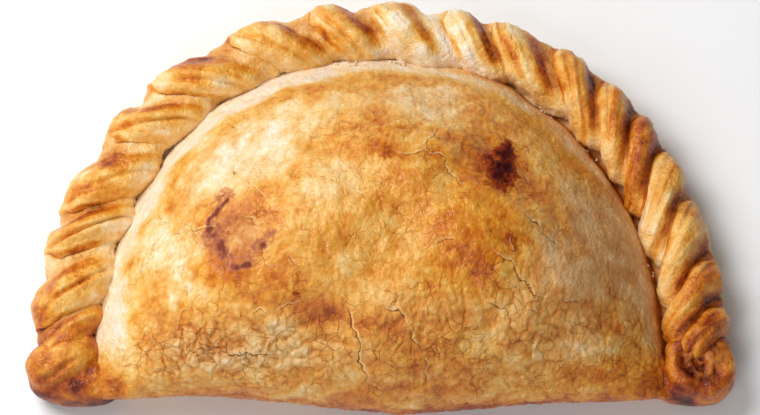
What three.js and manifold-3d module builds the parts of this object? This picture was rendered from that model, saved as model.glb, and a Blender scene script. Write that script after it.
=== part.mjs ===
// A baked empanada: a half-moon of dough folded over its filling, its curved edge twisted into a rope crimp.
// Millimetres, +Z up. X runs along the straight fold and Y from the fold to the back of the crimp.
// The origin is on the table, under the middle of the pastry.
import * as THREE from "three";
import Module from "manifold-3d";

// Driving sizes
const WIDTH = 130; // corner to corner, over the crimp
const DEPTH = 79; // from the fold to the back of the crimp
const HEIGHT = 33; // from the table to the crown
const FOLD_REACH = 7.5; // how far the fold lies in front of the crimp's two ends
const FOLD_EDGE = 8.5; // height of the fold's most forward line, mid length
const CRIMP_CREST = 6.3; // radius of the rope at the crest of a fold
const CRIMP_TROUGH = 3.9; // radius of the rope below its valleys

// Shape of the filled crust
const SEAM_HEIGHT = 4.5; // where the crust runs in under the rope
// Share of the half-moon's radius that stays low beside the rope's centre line, more of it round both sides
const SEAM_INSET = { back: 0.066, side: 0.096 };
// Angles round the half-moon between which the seam opens towards each side
const SEAM_OPENS = { left: { from: 1.9, to: 2.7 }, right: { from: 0.75, to: 1.25 } };
const CORNER_ROUND = 0.3; // share of the fold's reach that is lost at the corners
const CORNER_EDGE = 5.5; // height of the fold's most forward line at a corner
const RIM_RUN = 0.62; // share of the half-moon's radius over which the crust climbs from the rope
const RIM_FULL = 0.78; // under 1 the crust swells up steeply beside the rope
const FOLD_RUN = 34; // distance over which the crust climbs from the fold
const FOLD_TUCK = 8; // how far the underside curls back before it meets the table
// Slow wave of the fold along X, with a deeper hollow on the left
const FOLD_WAVE = { size: 1.65, length: 80, crest: 5, hollow: { left: 1, right: 0.4 } };
const LUMPS = [
  // Filling that shows through as low swellings: height, wavelengths along X and Y, phases
  { height: 0.8, alongX: 46, alongY: 37, phaseX: 1.1, phaseY: 0.4 },
  { height: 0.5, alongX: 27, alongY: 31, phaseX: 4.0, phaseY: 2.2 },
  { height: 0.3, alongX: 15, alongY: 17, phaseX: 2.6, phaseY: 5.1 },
];

// Shape of the rope crimp
const SHOULDERS = { left: 0.024, right: 0.03 }; // how much fuller than an ellipse the half-moon is
const CRIMP_FLOOR = 0.25; // the rope's underside stays this far off the table
const CRIMP_FLAT = 0.96; // height of the rope's section over its width
const CAP_LENGTH = 5; // length over which each end of the rope rounds off
// Length along the rope of each hand-made fold, from the left corner to the right one
const FOLD_LENGTHS = [8.5, 13, 9.5, 14.5, 13, 15, 14, 11, 13.5, 9.5, 13, 10, 8.5, 7.5, 10.5, 10, 9, 9];
const FIRST_FOLD = 1.4; // where the first fold starts
const FOLD_SLANT = { left: 7, right: 10 }; // how far a fold moves along the rope while it crosses the top
const FOLD_CREASE = { left: 1.2, right: 0.2 }; // the crease on top of a fold fades to the right
const FOLD_UNEVEN = 0.05; // difference in thickness from fold to fold
// Section of one fold along the rope: a lip over the valley before it, a crease, a hump, a valley, a facet.
// Outer is the height on the rope's outside, where the facet runs up to the next lip without a step.
const FOLD_SECTION = [
  { at: 0.0, height: 0.62, outer: 0.9, lean: -0.08 },
  { at: 0.06, height: 0.9, lean: -0.06 },
  { at: 0.15, height: 1.0, lean: -0.03 },
  { at: 0.25, height: 0.99, crease: 0.13, lean: 0 },
  { at: 0.34, height: 1.0, lean: 0 },
  { at: 0.46, height: 0.9, lean: 0 },
  { at: 0.58, height: 0.58, lean: 0 },
  { at: 0.69, height: 0.2, lean: 0 },
  { at: 0.82, height: 0.2, outer: 0.55, lean: 0.01 },
  { at: 0.94, height: 0.32, outer: 0.85, lean: 0.03 },
];

// Shape of the two corner knots, where the rope's ends are tucked under
const KNOT = { alongX: 6.6, alongY: 6.6, alongZ: 5.6, height: 5.5 };
const KNOT_PLACE = { left: { inset: 0.5, y: 0.4 }, right: { inset: 0.5, y: 1 } };
const KNOT_CURL = { depth: 0.5, length: 3.4 }; // crescent folds across a knot

// Fineness of the facets
const STATIONS = 52;
const CROWN_STEPS = 34;
const TUCK_STEPS = 4;
const BASE_STEPS = 5;
const ROPE_SIDES = 18;
const KNOT_STEPS = { round: 18, down: 10 };
const SMALLEST_EDGE = 0.04; // shorter edges, left by joining the pieces, are closed up

// Sizes worked out from the ones above
const AXIS_HALF_WIDTH = WIDTH / 2 - CRIMP_CREST;
const AXIS_DEPTH = DEPTH - FOLD_REACH - CRIMP_CREST;
const ROPE_HEIGHT = CRIMP_CREST * CRIMP_FLAT + CRIMP_FLOOR;
const MIDDLE_Y = (AXIS_DEPTH + CRIMP_CREST - FOLD_REACH - FOLD_WAVE.size) / 2;

const TURN = 2 * Math.PI;
const clamp = THREE.MathUtils.clamp;
const lerp = THREE.MathUtils.lerp;

// The same number from -1 to 1 each time for a fold and a purpose
function uneven(fold, purpose) {
  const wave = Math.sin(fold * 12.9898 + purpose * 78.233) * 43758.5453;
  return 2 * (wave - Math.floor(wave)) - 1;
}

// Front-most Y of the fold at X
function foldLine(x) {
  const swing = Math.cos((TURN * (x - FOLD_WAVE.crest)) / FOLD_WAVE.length);
  const hollow = x > 0 ? FOLD_WAVE.hollow.right : FOLD_WAVE.hollow.left;
  const wave = FOLD_WAVE.size * (swing > 0 ? swing : swing * hollow);
  const corner = Math.abs(x / AXIS_HALF_WIDTH) ** 6;
  return -FOLD_REACH * (1 - CORNER_ROUND * corner) - wave * (1 - corner);
}

// Distance from the middle of the fold to the rope's centre line, in the direction of a point of the plan.
// It is an ellipse with fuller shoulders, the right one more so.
function ropeReach(x, y) {
  const angle = Math.atan2(y / AXIS_DEPTH, x / AXIS_HALF_WIDTH);
  const shoulder = x > 0 ? SHOULDERS.right : SHOULDERS.left;
  const swell = 1 + shoulder * Math.sin(2 * angle) ** 2;
  return swell * Math.hypot(AXIS_HALF_WIDTH * Math.cos(angle), AXIS_DEPTH * Math.sin(angle));
}

// The rope's centre line, from the left corner round the back to the right one
class RopeLine extends THREE.Curve {
  getPoint(share, target = new THREE.Vector3()) {
    const angle = Math.PI * (1 - share);
    const x = AXIS_HALF_WIDTH * Math.cos(angle);
    const y = AXIS_DEPTH * Math.sin(angle);
    return target.set(x, y, 0).multiplyScalar(ropeReach(x, y) / Math.hypot(x, y));
  }
}

// Height of the fold's most forward line at X
function foldEdge(x) {
  return lerp(FOLD_EDGE, CORNER_EDGE, Math.abs(x / AXIS_HALF_WIDTH) ** 3);
}

// Height that one swelling adds at a point of the plan
function lumpHeight(lump, x, y) {
  const across = Math.sin((TURN * x) / lump.alongX + lump.phaseX);
  return lump.height * across * Math.cos((TURN * y) / lump.alongY + lump.phaseY);
}

// Top of the crust at a point of the plan: it climbs from the rope as a sine, from the fold as a quarter circle
function crownHeight(x, y) {
  const ahead = Math.max(y, 0);
  const angle = Math.atan2(ahead / AXIS_DEPTH, x / AXIS_HALF_WIDTH);
  const leftness = THREE.MathUtils.smoothstep(angle, SEAM_OPENS.left.from, SEAM_OPENS.left.to);
  const rightness = 1 - THREE.MathUtils.smoothstep(angle, SEAM_OPENS.right.from, SEAM_OPENS.right.to);
  const inset = lerp(SEAM_INSET.back, SEAM_INSET.side, Math.max(leftness, rightness));
  const fromRope = 1 - Math.hypot(x, ahead) / ropeReach(x, ahead) - inset;
  const fromFold = clamp((y - foldLine(x)) / FOLD_RUN, 0, 1);
  const rimRise = Math.sin((Math.PI / 2) * clamp(fromRope / RIM_RUN, 0, 1)) ** RIM_FULL;
  const foldRise = Math.sqrt(1 - (1 - fromFold) ** 2);
  const edge = lerp(foldEdge(x), SEAM_HEIGHT, fromFold);
  const lumps = LUMPS.reduce((sum, lump) => sum + lumpHeight(lump, x, y), 0);
  const rise = rimRise * foldRise;
  return edge + (HEIGHT - edge + lumps) * rise;
}

// One closed section of the crust: from the fold over the crown to the rope, along the base and up the tuck.
// It stands at the X of a point of the rope's centre line.
function crustSection(rope) {
  const front = foldLine(rope.x);
  const back = Math.max(rope.y, front + 2);
  const edge = foldEdge(rope.x);
  const tuck = Math.min(FOLD_TUCK, (back - front) * 0.6);
  const section = [];
  for (let i = 0; i <= CROWN_STEPS; i++) {
    const share = i / CROWN_STEPS;
    const y = lerp(front, back, share ** 1.6 * (1 - share) + share * share);
    section.push([y, crownHeight(rope.x, y)]);
  }
  for (let i = 0; i <= BASE_STEPS; i++) section.push([lerp(back, front + tuck, i / BASE_STEPS), 0]);
  for (let i = 1; i < TUCK_STEPS; i++) {
    const angle = (Math.PI / 2) * (i / TUCK_STEPS);
    section.push([front + tuck * (1 - Math.sin(angle)), edge * (1 - Math.cos(angle))]);
  }
  return section.map(([y, z]) => [rope.x, y, z]);
}

// A geometry from points and triangles
function geometryOf(points, triangles) {
  return new THREE.BufferGeometry()
    .setAttribute("position", new THREE.Float32BufferAttribute(points.flat(), 3))
    .setIndex(triangles);
}

// The two triangles of each quad, without those that have lost a side
function addQuad(triangles, a, b, c, d) {
  if (a !== b && b !== c && a !== c) triangles.push(a, b, c);
  if (a !== c && c !== d && a !== d) triangles.push(a, c, d);
}

// The filled crust: closed sections carried from corner to corner, drawn to a point at each end
function crustGeometry() {
  const ropeLine = new RopeLine();
  const points = [];
  const triangles = [];
  for (let s = 1; s < STATIONS; s++) {
    points.push(...crustSection(ropeLine.getPoint(s / STATIONS)));
  }
  const around = points.length / (STATIONS - 1);
  const left = points.push([-AXIS_HALF_WIDTH, -FOLD_REACH / 2, CORNER_EDGE / 2]) - 1;
  const right = points.push([AXIS_HALF_WIDTH, -FOLD_REACH / 2, CORNER_EDGE / 2]) - 1;
  const at = (station, i) => {
    if (station < 0) return left;
    return station > STATIONS - 2 ? right : station * around + (i % around);
  };
  for (let s = -1; s < STATIONS - 1; s++)
    for (let i = 0; i < around; i++)
      addQuad(triangles, at(s, i), at(s + 1, i), at(s + 1, i + 1), at(s, i + 1));
  return geometryOf(points, triangles);
}

// Where a place in the row of folds starts along the rope, with the row continued past both ends
function foldStart(fold) {
  const last = FOLD_LENGTHS.length - 1;
  const length = (i) => FOLD_LENGTHS[clamp(i, 0, last)];
  const whole = Math.floor(fold);
  let start = FIRST_FOLD + (fold - whole) * length(whole);
  for (let i = 0; i < whole; i++) start += length(i);
  for (let i = whole; i < 0; i++) start -= length(i);
  return start;
}

// Where a place in the row of folds lies along the rope at an angle round it, from the outside over the top.
// It slants forward over the top, and underneath it runs on to the outside of the second fold after it.
function alongRope(fold, angle) {
  const slant = lerp(FOLD_SLANT.left, FOLD_SLANT.right, clamp(fold / FOLD_LENGTHS.length, 0, 1));
  if (angle <= Math.PI) return foldStart(fold) + slant * (angle / Math.PI - 0.5);
  return lerp(alongRope(fold, Math.PI), alongRope(fold + 2, 0), angle / Math.PI - 1);
}

// Radius of the rope where it rounds off at its ends, as a share of its full radius
function capShare(length, total) {
  const inside = Math.min(length, total - length) / CAP_LENGTH;
  return Math.sqrt(1 - (1 - clamp(inside, 0, 1)) ** 2);
}

// The rope: each column of points follows one line of a fold round the section, so that the folds stay crisp.
// A full turn moves a line on by two folds, and columns past either end fall together in one point.
function ropeGeometry() {
  const axis = new RopeLine();
  axis.arcLengthDivisions = 2000;
  const total = axis.getLength();
  const spots = FOLD_SECTION.length;
  const columns = (FOLD_LENGTHS.length + 6) * spots + 1;
  const points = [];
  const start = points.push([-AXIS_HALF_WIDTH, 0, ROPE_HEIGHT]) - 1;
  const end = points.push([AXIS_HALF_WIDTH, 0, ROPE_HEIGHT]) - 1;
  const place = (column, angle) => {
    const fold = Math.floor(column / spots) - 3;
    const spot = FOLD_SECTION[column % spots];
    const along = alongRope(fold + spot.at + spot.lean, angle);
    if (along <= 0) return start;
    if (along >= total) return end;
    const crest = CRIMP_CREST * (1 + FOLD_UNEVEN * uneven(fold, 1));
    const fade = clamp(fold / FOLD_LENGTHS.length, 0, 1);
    const crease = (spot.crease ?? 0) * lerp(FOLD_CREASE.left, FOLD_CREASE.right, fade);
    const height = lerp(spot.height - crease, spot.outer ?? spot.height, Math.max(0, Math.cos(angle)));
    const radius = lerp(CRIMP_TROUGH, crest, height) * capShare(along, total);
    const centre = axis.getPointAt(along / total);
    const tangent = axis.getTangentAt(along / total);
    const out = radius * Math.cos(angle);
    const z = Math.max(ROPE_HEIGHT + radius * CRIMP_FLAT * Math.sin(angle), CRIMP_FLOOR);
    return points.push([centre.x - tangent.y * out, centre.y + tangent.x * out, z]) - 1;
  };
  const index = [];
  for (let side = 0; side < ROPE_SIDES; side++) {
    const angle = (TURN * side) / ROPE_SIDES;
    index.push(Array.from({ length: columns }, (_, column) => place(column, angle)));
  }
  const triangles = [];
  const at = (side, column) => {
    const wrapped = side === ROPE_SIDES ? column + 2 * spots : column;
    return wrapped < columns ? index[side % ROPE_SIDES][wrapped] : end;
  };
  for (let side = 0; side < ROPE_SIDES; side++)
    for (let column = 0; column < columns - 1; column++) {
      const next = column + 1;
      addQuad(triangles, at(side, column), at(side + 1, column), at(side + 1, next), at(side, next));
    }
  return geometryOf(points, triangles);
}

// A corner knot: a squat ball with crescent folds that open towards the rope, on the left (-1) or right (1)
function knotGeometry(side) {
  const spot = side > 0 ? KNOT_PLACE.right : KNOT_PLACE.left;
  const centre = [side * (AXIS_HALF_WIDTH - spot.inset), spot.y, KNOT.height];
  const points = [];
  const triangles = [];
  const place = (round, down) => {
    const across = Math.sin(down);
    const dx = KNOT.alongX * across * Math.cos(round);
    const dy = KNOT.alongY * across * Math.sin(round);
    const fold = Math.hypot(dx - side * KNOT.alongX, dy - KNOT.alongY) / KNOT_CURL.length;
    const swell = 1 + (KNOT_CURL.depth / KNOT.alongX) * Math.cos(TURN * fold) * across;
    const dz = KNOT.alongZ * Math.cos(down);
    return [
      centre[0] + dx * swell,
      centre[1] + dy * swell,
      Math.max(centre[2] + dz * swell, CRIMP_FLOOR),
    ];
  };
  const top = points.push(place(0, 0)) - 1;
  const bottom = points.push(place(0, Math.PI)) - 1;
  for (let d = 1; d < KNOT_STEPS.down; d++)
    for (let r = 0; r < KNOT_STEPS.round; r++)
      points.push(place((TURN * r) / KNOT_STEPS.round, (Math.PI * d) / KNOT_STEPS.down));
  const at = (d, r) => {
    if (d === 0) return top;
    return d === KNOT_STEPS.down ? bottom : 2 + (d - 1) * KNOT_STEPS.round + (r % KNOT_STEPS.round);
  };
  for (let d = 0; d < KNOT_STEPS.down; d++)
    for (let r = 0; r < KNOT_STEPS.round; r++)
      addQuad(triangles, at(d, r), at(d + 1, r), at(d + 1, r + 1), at(d, r + 1));
  return geometryOf(points, triangles);
}

const wasm = await Module();
wasm.setup();

// A closed geometry as a solid that can be joined to others
function solidOf(geometry) {
  return new wasm.Manifold(
    new wasm.Mesh({
      numProp: 3,
      vertProperties: new Float32Array(geometry.getAttribute("position").array),
      triVerts: new Uint32Array(geometry.index.array),
    }),
  );
}

// A joined solid as a geometry again
function geometryFrom(solid) {
  const mesh = solid.getMesh();
  return new THREE.BufferGeometry()
    .setAttribute("position", new THREE.BufferAttribute(mesh.vertProperties, 3))
    .setIndex(new THREE.BufferAttribute(mesh.triVerts, 1));
}

// Crust, rope and knots are one piece of dough, solid right through: pockets between them are filled
const pieces = [crustGeometry(), ropeGeometry(), knotGeometry(-1), knotGeometry(1)];
const joined = pieces.map(solidOf).reduce((whole, piece) => whole.add(piece)).simplify(SMALLEST_EDGE);
const dough = joined.decompose().reduce((most, shell) => (shell.volume() > most.volume() ? shell : most));

const bakedCrust = new THREE.MeshStandardMaterial({ color: 0xd9983f, roughness: 0.5, metalness: 0 });
const empanada = new THREE.Mesh(geometryFrom(dough), bakedCrust);
empanada.name = "empanada";
empanada.position.y = -MIDDLE_Y;

const pastry = new THREE.Group();
pastry.add(empanada);

export default pastry;
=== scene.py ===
"""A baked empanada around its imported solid: browned, pebbled crust, twisted rope crimp and corner knots.

Sizes are in millimetres in the maker's frame: X along the fold, Y from the fold to the back of the crimp,
with the origin on the table under the middle of the half-moon's arc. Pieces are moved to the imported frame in
metres.
"""

import logging
import math
from dataclasses import dataclass
from enum import Enum

import bpy
import numpy as np
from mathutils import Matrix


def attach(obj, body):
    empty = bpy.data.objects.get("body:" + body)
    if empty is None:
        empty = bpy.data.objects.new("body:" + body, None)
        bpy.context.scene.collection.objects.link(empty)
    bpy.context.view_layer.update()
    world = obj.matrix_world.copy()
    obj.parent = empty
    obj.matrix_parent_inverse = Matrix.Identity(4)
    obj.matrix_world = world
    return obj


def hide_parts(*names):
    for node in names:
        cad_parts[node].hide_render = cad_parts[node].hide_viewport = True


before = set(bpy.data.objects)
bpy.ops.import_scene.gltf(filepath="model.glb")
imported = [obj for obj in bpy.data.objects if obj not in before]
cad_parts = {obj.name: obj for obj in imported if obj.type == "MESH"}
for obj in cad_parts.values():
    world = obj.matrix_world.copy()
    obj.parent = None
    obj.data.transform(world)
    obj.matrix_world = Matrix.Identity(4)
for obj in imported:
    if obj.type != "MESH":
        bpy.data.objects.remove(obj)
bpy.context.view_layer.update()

NODE = "empanada"
BODY = "root"
MM = 0.001
TURN = 2 * math.pi

Array = np.ndarray
Pixel = tuple[float, float]
Vector = tuple[float, float, float]
Rgb = tuple[int, int, int]
Stops = tuple[tuple[float, Rgb], ...]
Socket = bpy.types.NodeSocket
log = logging.getLogger("empanada")


def smooth(low: float, high: float, value: Array) -> Array:
    """A step from 0 at low to 1 at high with level ends.

    Args:
        low: where the step starts.
        high: where the step ends; it may lie below low for a falling step.
        value: the places to read.

    Returns:
        The step at each place.
    """
    share = np.clip((value - low) / (high - low), 0, 1)
    return share * share * (3 - 2 * share)


def lerp(low: Array, high: Array, share: Array) -> Array:
    """The value at a share of the way from low to high."""
    return low + (high - low) * share


def bell(distance: Array, width: float) -> Array:
    """A bump of height 1 and the given half width: exp(-(distance / width)^2)."""
    return np.exp(-((distance / width) ** 2))


class Grain:
    """Seeded noise for whatever the oven leaves uneven. Every draw is a hash of a lattice corner."""

    TILT = np.array([[0.36, 0.48, -0.8], [-0.8, 0.6, 0.0], [0.48, 0.64, 0.6]])

    @staticmethod
    def draw(cell: Array, seed: int) -> Array:
        """One number from 0 to 1 for each lattice corner, always the same one.

        Args:
            cell: whole-numbered corners, (n, 3).
            seed: which set of numbers.

        Returns:
            The draws, (n,).
        """
        part = cell.astype(np.int64).astype(np.uint32)
        mixed = part[..., 0] * np.uint32(0x8DA6B343)
        mixed = mixed ^ (part[..., 1] * np.uint32(0xD8163841))
        mixed = mixed ^ (part[..., 2] * np.uint32(0xCB1AB31F))
        mixed = mixed + np.uint32((seed * 0x9E3779B9) % 2**32)
        mixed = (mixed ^ (mixed >> np.uint32(13))) * np.uint32(0x5BD1E995)
        mixed = (mixed ^ (mixed >> np.uint32(15))) * np.uint32(0x27D4EB2D)
        mixed = mixed ^ (mixed >> np.uint32(16))
        return mixed / 2.0**32

    @classmethod
    def waves(cls, points: Array, length: float, seed: int, octaves: int = 3) -> Array:
        """Soft waves: draws at lattice corners joined by quintic steps, each octave half as long and high.

        Args:
            points: where to read, (n, 3), mm.
            length: the longest wave, mm.
            seed: which set of numbers.
            octaves: how many sizes are added.

        Returns:
            Values of about -1 to 1, (n,).
        """
        total = np.zeros(len(points))
        height, most = 1.0, 0.0
        place = points / length
        for octave in range(octaves):
            corner = np.floor(place)
            part = place - corner
            step = part**3 * (part * (part * 6 - 15) + 10)
            value = np.zeros(len(points))
            for side in np.ndindex(2, 2, 2):
                weight = np.prod(np.where(side, step, 1 - step), axis=1)
                value += weight * cls.draw(corner + np.array(side), seed + octave * 17)
            total += height * (2 * value - 1)
            most += height
            height *= 0.5
            place = (place @ cls.TILT.T) * 2.03 + 11.7
        return total / most * 1.6

    @classmethod
    def cells(cls, points: Array, length: float, seed: int) -> tuple[Array, Array, Array]:
        """Distances to the nearest and next nearest of points strewn one to a lattice cell.

        Args:
            points: where to read, (n, 3), mm.
            length: the cell's size, mm.
            seed: which set of numbers.

        Returns:
            The two distances as shares of the cell's size, and a draw for the nearest point.
        """
        place = points / length
        corner = np.floor(place)
        near = np.full(len(points), 9.0)
        later = np.full(len(points), 9.0)
        name = np.zeros(len(points))
        for side in np.ndindex(3, 3, 3):
            cell = corner + np.array(side) - 1
            spot = np.stack([cls.draw(cell, seed + k) for k in range(3)], axis=1)
            gap = np.linalg.norm(cell + 0.15 + 0.7 * spot - place, axis=1)
            closer = gap < near
            later = np.where(closer, near, np.minimum(later, gap))
            name = np.where(closer, spot[:, 0], name)
            near = np.where(closer, gap, near)
        return near, later, name


@dataclass(frozen=True)
class HalfMoon:
    """The pastry's plan and crown, from the same sizes as its solid."""

    width: float = 130.0
    depth: float = 79.0
    height: float = 33.0
    fold_reach: float = 7.5
    fold_edge: float = 8.5
    crest: float = 6.3
    trough: float = 3.9
    seam_height: float = 4.5
    seam_inset: float = 0.066
    seam_inset_side: float = 0.03
    seam_opens_left: tuple[float, float] = (1.9, 2.7)
    seam_opens_right: tuple[float, float] = (1.25, 0.75)
    corner_round: float = 0.3
    corner_edge: float = 5.5
    rim_run: float = 0.62
    rim_full: float = 0.78
    fold_run: float = 34.0
    fold_tuck: float = 8.0
    wave_size: float = 1.65
    wave_length: float = 80.0
    wave_crest: float = 5.0
    hollow_left: float = 1.0
    hollow_right: float = 0.4
    shoulder_left: float = 0.024
    shoulder_right: float = 0.03
    floor: float = 0.25
    flat: float = 0.96
    lumps: tuple[tuple[float, ...], ...] = (
        (0.8, 46, 37, 1.1, 0.4),
        (0.5, 27, 31, 4.0, 2.2),
        (0.3, 15, 17, 2.6, 5.1),
    )

    @property
    def half_width(self) -> float:
        """Half the width between the ends of the rope's centre line."""
        return self.width / 2 - self.crest

    @property
    def arc_depth(self) -> float:
        """How far the rope's centre line reaches back."""
        return self.depth - self.fold_reach - self.crest

    @property
    def rope_height(self) -> float:
        """Height of the rope's centre line."""
        return self.crest * self.flat + self.floor

    @property
    def middle(self) -> float:
        """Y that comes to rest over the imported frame's origin."""
        return (self.arc_depth + self.crest - self.fold_reach - self.wave_size) / 2

    def fold_line(self, x: Array) -> Array:
        """Front-most Y of the fold: a slow cosine wave that fades towards the rounded corners.

        Args:
            x: places along the fold, mm.

        Returns:
            The fold's Y at each place.
        """
        swing = np.cos(TURN * (x - self.wave_crest) / self.wave_length)
        hollow = np.where(x > 0, self.hollow_right, self.hollow_left)
        wave = self.wave_size * np.where(swing > 0, swing, swing * hollow)
        corner = np.abs(x / self.half_width) ** 6
        return -self.fold_reach * (1 - self.corner_round * corner) - wave * (1 - corner)

    def edge_height(self, x: Array) -> Array:
        """Height of the fold's most forward line, lower at the corners by the cube of the distance."""
        return lerp(self.fold_edge, self.corner_edge, np.abs(x / self.half_width) ** 3)

    def rope_reach(self, x: Array, y: Array) -> Array:
        """Distance from the arc's centre to the rope's line: an ellipse with fuller shoulders.

        Args:
            x: plan X, mm.
            y: plan Y, mm.

        Returns:
            The reach in the direction of each place.
        """
        angle = np.arctan2(y / self.arc_depth, x / self.half_width)
        shoulder = np.where(x > 0, self.shoulder_right, self.shoulder_left)
        swell = 1 + shoulder * np.sin(2 * angle) ** 2
        return swell * np.hypot(self.half_width * np.cos(angle), self.arc_depth * np.sin(angle))

    def rope_line(self, steps: int = 4000) -> tuple[Array, Array, Array]:
        """The rope's centre line from the left corner round the back to the right one.

        Args:
            steps: how many stretches the line is cut into.

        Returns:
            Its X, its Y and the length run so far at each step.
        """
        angle = np.linspace(math.pi, 0, steps + 1)
        x = self.half_width * np.cos(angle)
        y = self.arc_depth * np.sin(angle)
        swell = self.rope_reach(x, y) / np.hypot(x, y)
        x, y = x * swell, y * swell
        run = np.concatenate([[0], np.cumsum(np.hypot(np.diff(x), np.diff(y)))])
        return x, y, run

    def from_rope(self, x: Array, y: Array) -> Array:
        """Distance in plan from the rope's centre line, mm, positive inside."""
        ahead = np.maximum(y, 0)
        return self.rope_reach(x, ahead) - np.hypot(x, ahead)

    def crown(self, x: Array, y: Array) -> Array:
        """Top of the crust: a sine climb from the rope times a quarter-circle climb from the fold.

        The climb from the rope starts a share of the reach inside its line, a larger one round both sides, so
        that the seam lies open there.

        Args:
            x: plan X, mm.
            y: plan Y, mm.

        Returns:
            The height at each place, with the low swellings of the filling.
        """
        ahead = np.maximum(y, 0)
        turned = np.arctan2(ahead / self.arc_depth, x / self.half_width)
        aside = np.maximum(smooth(*self.seam_opens_left, turned), smooth(*self.seam_opens_right, turned))
        inset = self.seam_inset + self.seam_inset_side * aside
        from_rope = 1 - np.hypot(x, ahead) / self.rope_reach(x, ahead) - inset
        from_fold = np.clip((y - self.fold_line(x)) / self.fold_run, 0, 1)
        rim = np.sin(math.pi / 2 * np.clip(from_rope / self.rim_run, 0, 1)) ** self.rim_full
        fold = np.sqrt(1 - (1 - from_fold) ** 2)
        edge = lerp(self.edge_height(x), self.seam_height, from_fold)
        swelling = sum(
            high * np.sin(TURN * x / along_x + phase_x) * np.cos(TURN * y / along_y + phase_y)
            for high, along_x, along_y, phase_x, phase_y in self.lumps
        )
        return edge + (self.height - edge + swelling) * rim * fold

    def packed(self, points: Array) -> Array:
        """Points of the maker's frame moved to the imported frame, in metres."""
        return (points - np.array([0, self.middle, 0])) * MM


@dataclass(frozen=True)
class PhotoView:
    """Where the camera stands, and where a pixel of its 760 x 415 picture lies on the crust."""

    moon: HalfMoon
    elevation: float = math.radians(72)
    distance: float = 700.0
    scale: float = 5.3765
    aim: Vector = (0.08, -1.47, 9.52)
    picture: tuple[int, int] = (760, 415)
    sensor: float = 36.0
    clip: tuple[float, float] = (0.01, 10.0)
    first_height: float = 20.0
    rounds: int = 60

    @property
    def back(self) -> Array:
        """Direction from the pastry to the camera."""
        return np.array([0, -math.cos(self.elevation), math.sin(self.elevation)])

    @property
    def up(self) -> Array:
        """Direction of the picture's top."""
        return np.array([0, math.sin(self.elevation), math.cos(self.elevation)])

    def drop(self, pixels: Array) -> Array:
        """Plan places of pixels: sight lines are cut at heights that move half way to the crown each round.

        Args:
            pixels: picture places, (n, 2), from the top left.

        Returns:
            X and Y on the crust, (n, 2), mm.
        """
        pixels = np.asarray(pixels, float).reshape(-1, 2)
        across = (pixels[:, 0] - self.picture[0] / 2) / self.scale / self.distance
        above = (self.picture[1] / 2 - pixels[:, 1]) / self.scale / self.distance
        eye = np.array(self.aim) + self.back * self.distance + np.array([0, self.moon.middle, 0])
        sight = -self.back + across[:, None] * np.array([1.0, 0, 0]) + above[:, None] * self.up
        z = np.full(len(pixels), self.first_height)
        for _ in range(self.rounds):
            spot = eye + sight * ((z - eye[2]) / sight[:, 2])[:, None]
            z = 0.5 * z + 0.5 * self.moon.crown(spot[:, 0], spot[:, 1])
        return spot[:, :2]

    def make_camera(self) -> bpy.types.Object:
        """A long lens at the photo's angle.

        Returns:
            The camera, set as the scene's own.
        """
        data = bpy.data.cameras.new("photo_camera")
        data.sensor_width = self.sensor
        data.lens = self.sensor * self.distance * self.scale / self.picture[0]
        camera = bpy.data.objects.new("photo_camera", data)
        camera.location = (np.array(self.aim) + self.back * self.distance) * MM
        camera.rotation_euler = (math.pi / 2 - self.elevation, 0, 0)
        data.clip_start, data.clip_end = self.clip
        bpy.context.scene.collection.objects.link(camera)
        bpy.context.scene.camera = camera
        return camera


class Bake(Enum):
    """How far a patch of crust is baked, as a place on the colour ramp."""

    DOUGH = 0.04
    CREAM = 0.16
    STRAW = 0.3
    GOLD = 0.44
    AMBER = 0.6
    BROWN = 0.75


@dataclass(frozen=True)
class Patch:
    """A soft patch of the crust that differs from what is round it.

    The patch is an ellipse as the camera sees it: its middle, half length and half width in pixels, the turn
    of its length from the picture's right, in degrees upwards, and how fully it draws the crust to its own
    bake, its dryness from glossy gold to tan, and its flakiness, where it has them.
    """

    at: Pixel
    long: float
    wide: float
    turn: float
    fully: float
    bake: Bake | None = None
    dry: float | None = None
    flake: float | None = None

    @property
    def draws(self) -> dict[str, float]:
        """What the patch draws the crust to.

        Returns:
            The value that it draws to, by name.
        """
        found = {"dry": self.dry, "flake": self.flake}
        if self.bake:
            found["bake"] = self.bake.value
        return {name: value for name, value in found.items() if value is not None}


@dataclass(frozen=True)
class Crack:
    """A crack in the crust: the pixels that it runs through and how wide it is."""

    path: tuple[Pixel, ...]
    wide: float


class Trace(Enum):
    """What a stroke on the crust is: a charred blister, a purplish scorch, or a pale raised wrinkle."""

    CHAR = "char"
    SCORCH = "scorch"
    WRINKLE = "wrinkle"


@dataclass(frozen=True)
class Mark:
    """A stroke on the crust: the pixels that it runs through, half its width in pixels and its strength."""

    kind: Trace
    path: tuple[Pixel, ...]
    wide: float
    strength: float


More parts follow.
